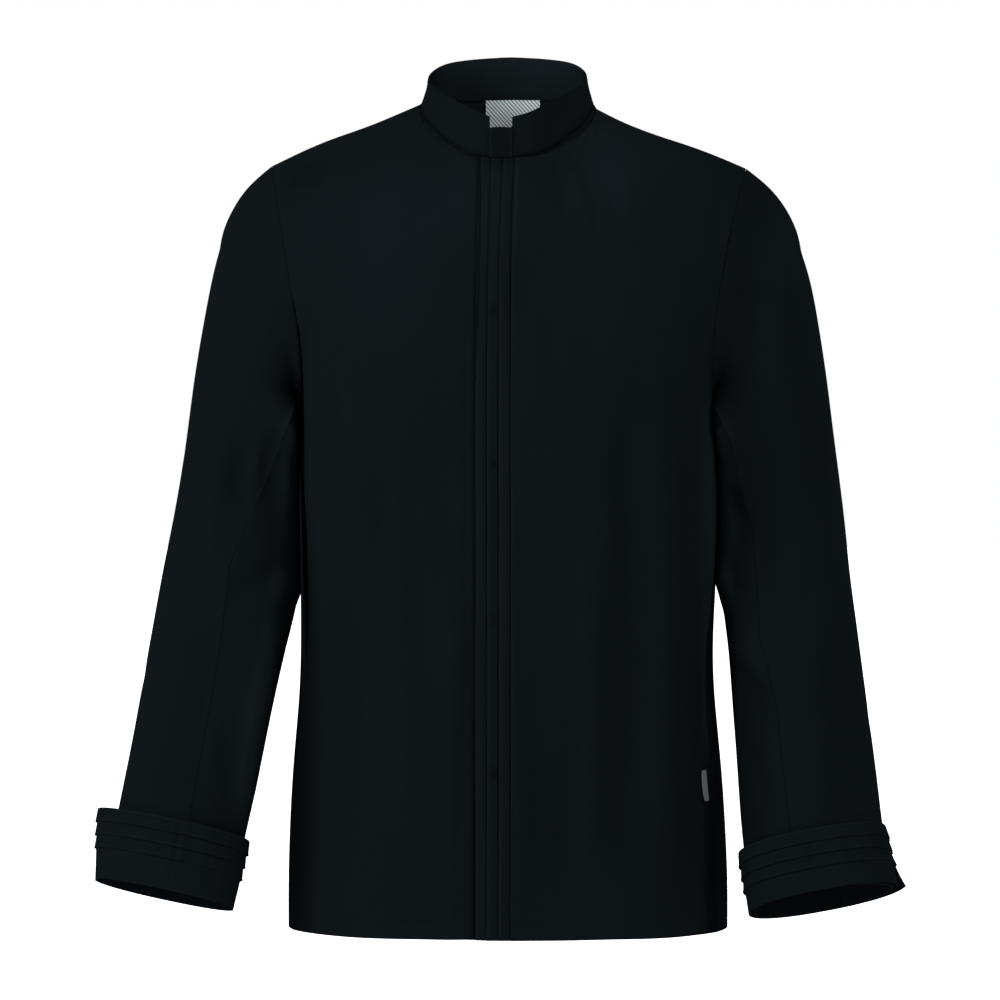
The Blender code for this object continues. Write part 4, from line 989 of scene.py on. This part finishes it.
# the lower edge runs on into the neck seam, so that no gap shows there
seam_dip = 0.0026
dip_height = 0.012
collar = dressed_copy("collar", 2)
co = points_of(collar)
turn = np.degrees(np.abs(np.arctan2(co[:, 0], -0.004 - co[:, 1])))
above_seam = co[:, 2] - 0.001 * (neck_seam_height(turn) - 0.7)
co[:, 2] -= seam_dip * np.maximum(0.0, 1.0 - above_seam / dip_height)
move_points(collar, co)


def collar_painted_shading(co):
    """Painted shade in the neck seam and on the collar's front at the wearer's left; painted light on the
    inner face of the collar behind the neck.
    """
    away = np.stack((co[:, 0], co[:, 1] - neck_y), axis=1)
    turn = np.degrees(np.abs(np.arctan2(away[:, 0], -away[:, 1])))
    away /= np.linalg.norm(away, axis=1, keepdims=True)
    inside = ease(-(points_of(collar, "normal")[:, :2] * away).sum(axis=1), 0.3, 0.6)
    in_seam = bump(co[:, 2] * 1000.0, neck_seam_height(turn), 2.0)
    left_front = bump(co[:, 0], 0.036, 0.026) * ease(-co[:, 1], 0.0, 0.03)
    return 1.1 * inside * ease(co[:, 1], -0.01, 0.03) - 0.6 * in_seam - 0.2 * left_front


tone_and_painted_light(collar, collar_painted_shading)
cloth_map(collar, body_flat)
finish_cloth(collar, "collar", black_twill)


def collar_line(turn, above_seam=None, below_top=None):
    """Start of a ray outside the collar, level with a line a few millimetres from a long edge."""
    a = math.radians(abs(turn))
    side = 1.0 if turn >= 0.0 else -1.0
    deep = 70.0 if abs(turn) <= 90.0 else 62.0
    top_z = np.interp(abs(turn), (0, 9, 22, 46, 60, 74, 90, 108, 124, 150, 180),
                      (-14.0, -13.0, -7.0, 7.5, 14.5, 20.5, 27.5, 36.0, 43.5, 49.5, 52.5))
    low = np.array((82.5 * math.sin(a), -4.0 - deep * math.cos(a), neck_seam_height(abs(turn))))
    top = np.array((74.6 * math.sin(a), -11.0 - 57.0 * math.cos(a), top_z))
    run = np.linalg.norm(top - low)
    share = above_seam / run if above_seam is not None else 1.0 - below_top / run
    place = low + (top - low) * share + 60.0 * np.array((math.sin(a), -math.cos(a), 0.0))
    return (side * place[0] * 0.001, place[1] * 0.001, place[2] * 0.001)


def toward_neck(start):
    turn = math.atan2(start[0], neck_y - start[1])
    return (-math.sin(turn), math.cos(turn), 0.0)


collar_surface = surface_of([collar])
collar_turns = list(np.linspace(9.5, 180.0, 220)) + list(np.linspace(-180.0, -14.0, 220))
for name, distance in (("collar_edge_stitches", {"below_top": 2.8}),
                       ("collar_seam_stitches", {"above_seam": 2.4})):
    starts = [collar_line(turn, **distance) for turn in collar_turns]
    places, normals = lay_on(collar_surface, starts, toward_neck)
    stitch_row(name, places, normals)


tab_middle = -0.0032
tab_widening = 1.09


def tab_painted_edges(co):
    """Painted highlights on the tab's turned edges; the whole tab is drawn a little darker."""
    side_edges = bump(np.abs(co[:, 0] - tab_middle) * 1000.0, 9.2, 1.1)
    top_edge = bump(co[:, 2] * 1000.0, -23.6, 1.2)
    return 0.3 * side_edges + 0.25 * top_edge - 0.2


tab = dressed_copy("collar_tab", 3)
co = points_of(tab)
co[:, 0] = tab_middle + (co[:, 0] - tab_middle) * tab_widening
move_points(tab, co)
tone_and_painted_light(tab, tab_painted_edges)
cloth_map(tab, body_flat)
finish_cloth(tab, "collar_tab", black_twill)
# its stitches run up one side, across the top and down the other
tab_seam_x = (-0.0112, 0.0048)
tab_seam_z = (-0.050, -0.0255)
tab_edge = ([(tab_seam_x[0], -1.0, z) for z in np.linspace(tab_seam_z[0], tab_seam_z[1], 24)]
            + [(x, -1.0, tab_seam_z[1]) for x in np.linspace(tab_seam_x[0], tab_seam_x[1], 16)]
            + [(tab_seam_x[1], -1.0, z) for z in np.linspace(tab_seam_z[1], tab_seam_z[0], 24)])
places, normals = lay_on(surface_of([tab]), tab_edge, from_front)
stitch_row("tab_stitches", places, normals)

# ==== labels ================================================================================
# A pale woven label with plain diagonal stripes sewn inside the back of the neck, and a small
# grey tape folded into the wearer's left side seam. Both are left without lettering.
stripe_pitch = 0.0036
label_weave = bpy.data.materials.new("striped_label")
label_weave.use_nodes = True
label_tree = label_weave.node_tree
label_shader = label_tree.nodes["Principled BSDF"]
label_shader.inputs["Roughness"].default_value = 0.6
label_place = label_tree.nodes.new("ShaderNodeTexCoord")
label_parts = label_tree.nodes.new("ShaderNodeSeparateXYZ")
label_tree.links.new(label_place.outputs["Object"], label_parts.inputs[0])
slant = maths(label_tree, "ADD", label_parts.outputs["X"],
              maths(label_tree, "MULTIPLY", label_parts.outputs["Z"], 0.9))
stripe = maths(label_tree, "SINE", maths(label_tree, "MULTIPLY", slant, 2 * math.pi / stripe_pitch))
stripe = maths(label_tree, "GREATER_THAN", stripe, 0.25)
label_colour = two_shades(label_tree, (0.62, 0.68, 0.70), (0.16, 0.18, 0.19), stripe)
label_tree.links.new(label_colour, label_shader.inputs["Base Color"])
label_relief = relief(label_tree, stripe, 0.4, 0.0002)
label_tree.links.new(label_relief.outputs["Normal"], label_shader.inputs["Normal"])

neck_label = dressed_copy("neck_label", 2)
cloth_map(neck_label, back_flat)
finish_cloth(neck_label, "neck_label", label_weave)

# the side label stands out of its seam: share down its height, share out to its free edge and
# distance through its thickness place each point anew beside the front
label_top = -0.613
label_height = 0.028
label_foot = (0.1895, -0.0572)
label_reach = 0.0111
label_along = (0.514, 0.857)
flag_tape = cloth_material("grey_tape", (0.07, 0.08, 0.085), (0.17, 0.19, 0.20), 0.6)
side_label = dressed_copy("side_label", 2)
side_surface = surface_of([bpy.data.objects["cloth_front_left"]])
for vertex in side_label.data.vertices:
    x, y, z = vertex.co
    off_x = x - label_foot[0]
    off_y = y - label_foot[1]
    down = (label_top - z) / label_height
    free = 1.0 - (off_x * label_along[0] + off_y * label_along[1]) / label_reach
    thick = off_x * label_along[1] - off_y * label_along[0] - 0.002 * down
    seam_x = 0.1839 + 0.0026 * down
    seam_y = side_surface.ray_cast((seam_x, -1.0, z), (0.0, 1.0, 0.0))[0].y
    bow = 0.0012 * math.sin(math.pi * min(max(down, 0.0), 1.0)) * free
    vertex.co.x = seam_x - 0.0029 * free - bow + 0.952 * thick
    vertex.co.y = seam_y - 0.0004 - 0.0100 * free - 0.305 * thick
    vertex.co.z = z + 0.0028
cloth_map(side_label, body_flat)
finish_cloth(side_label, "side_label", flag_tape)
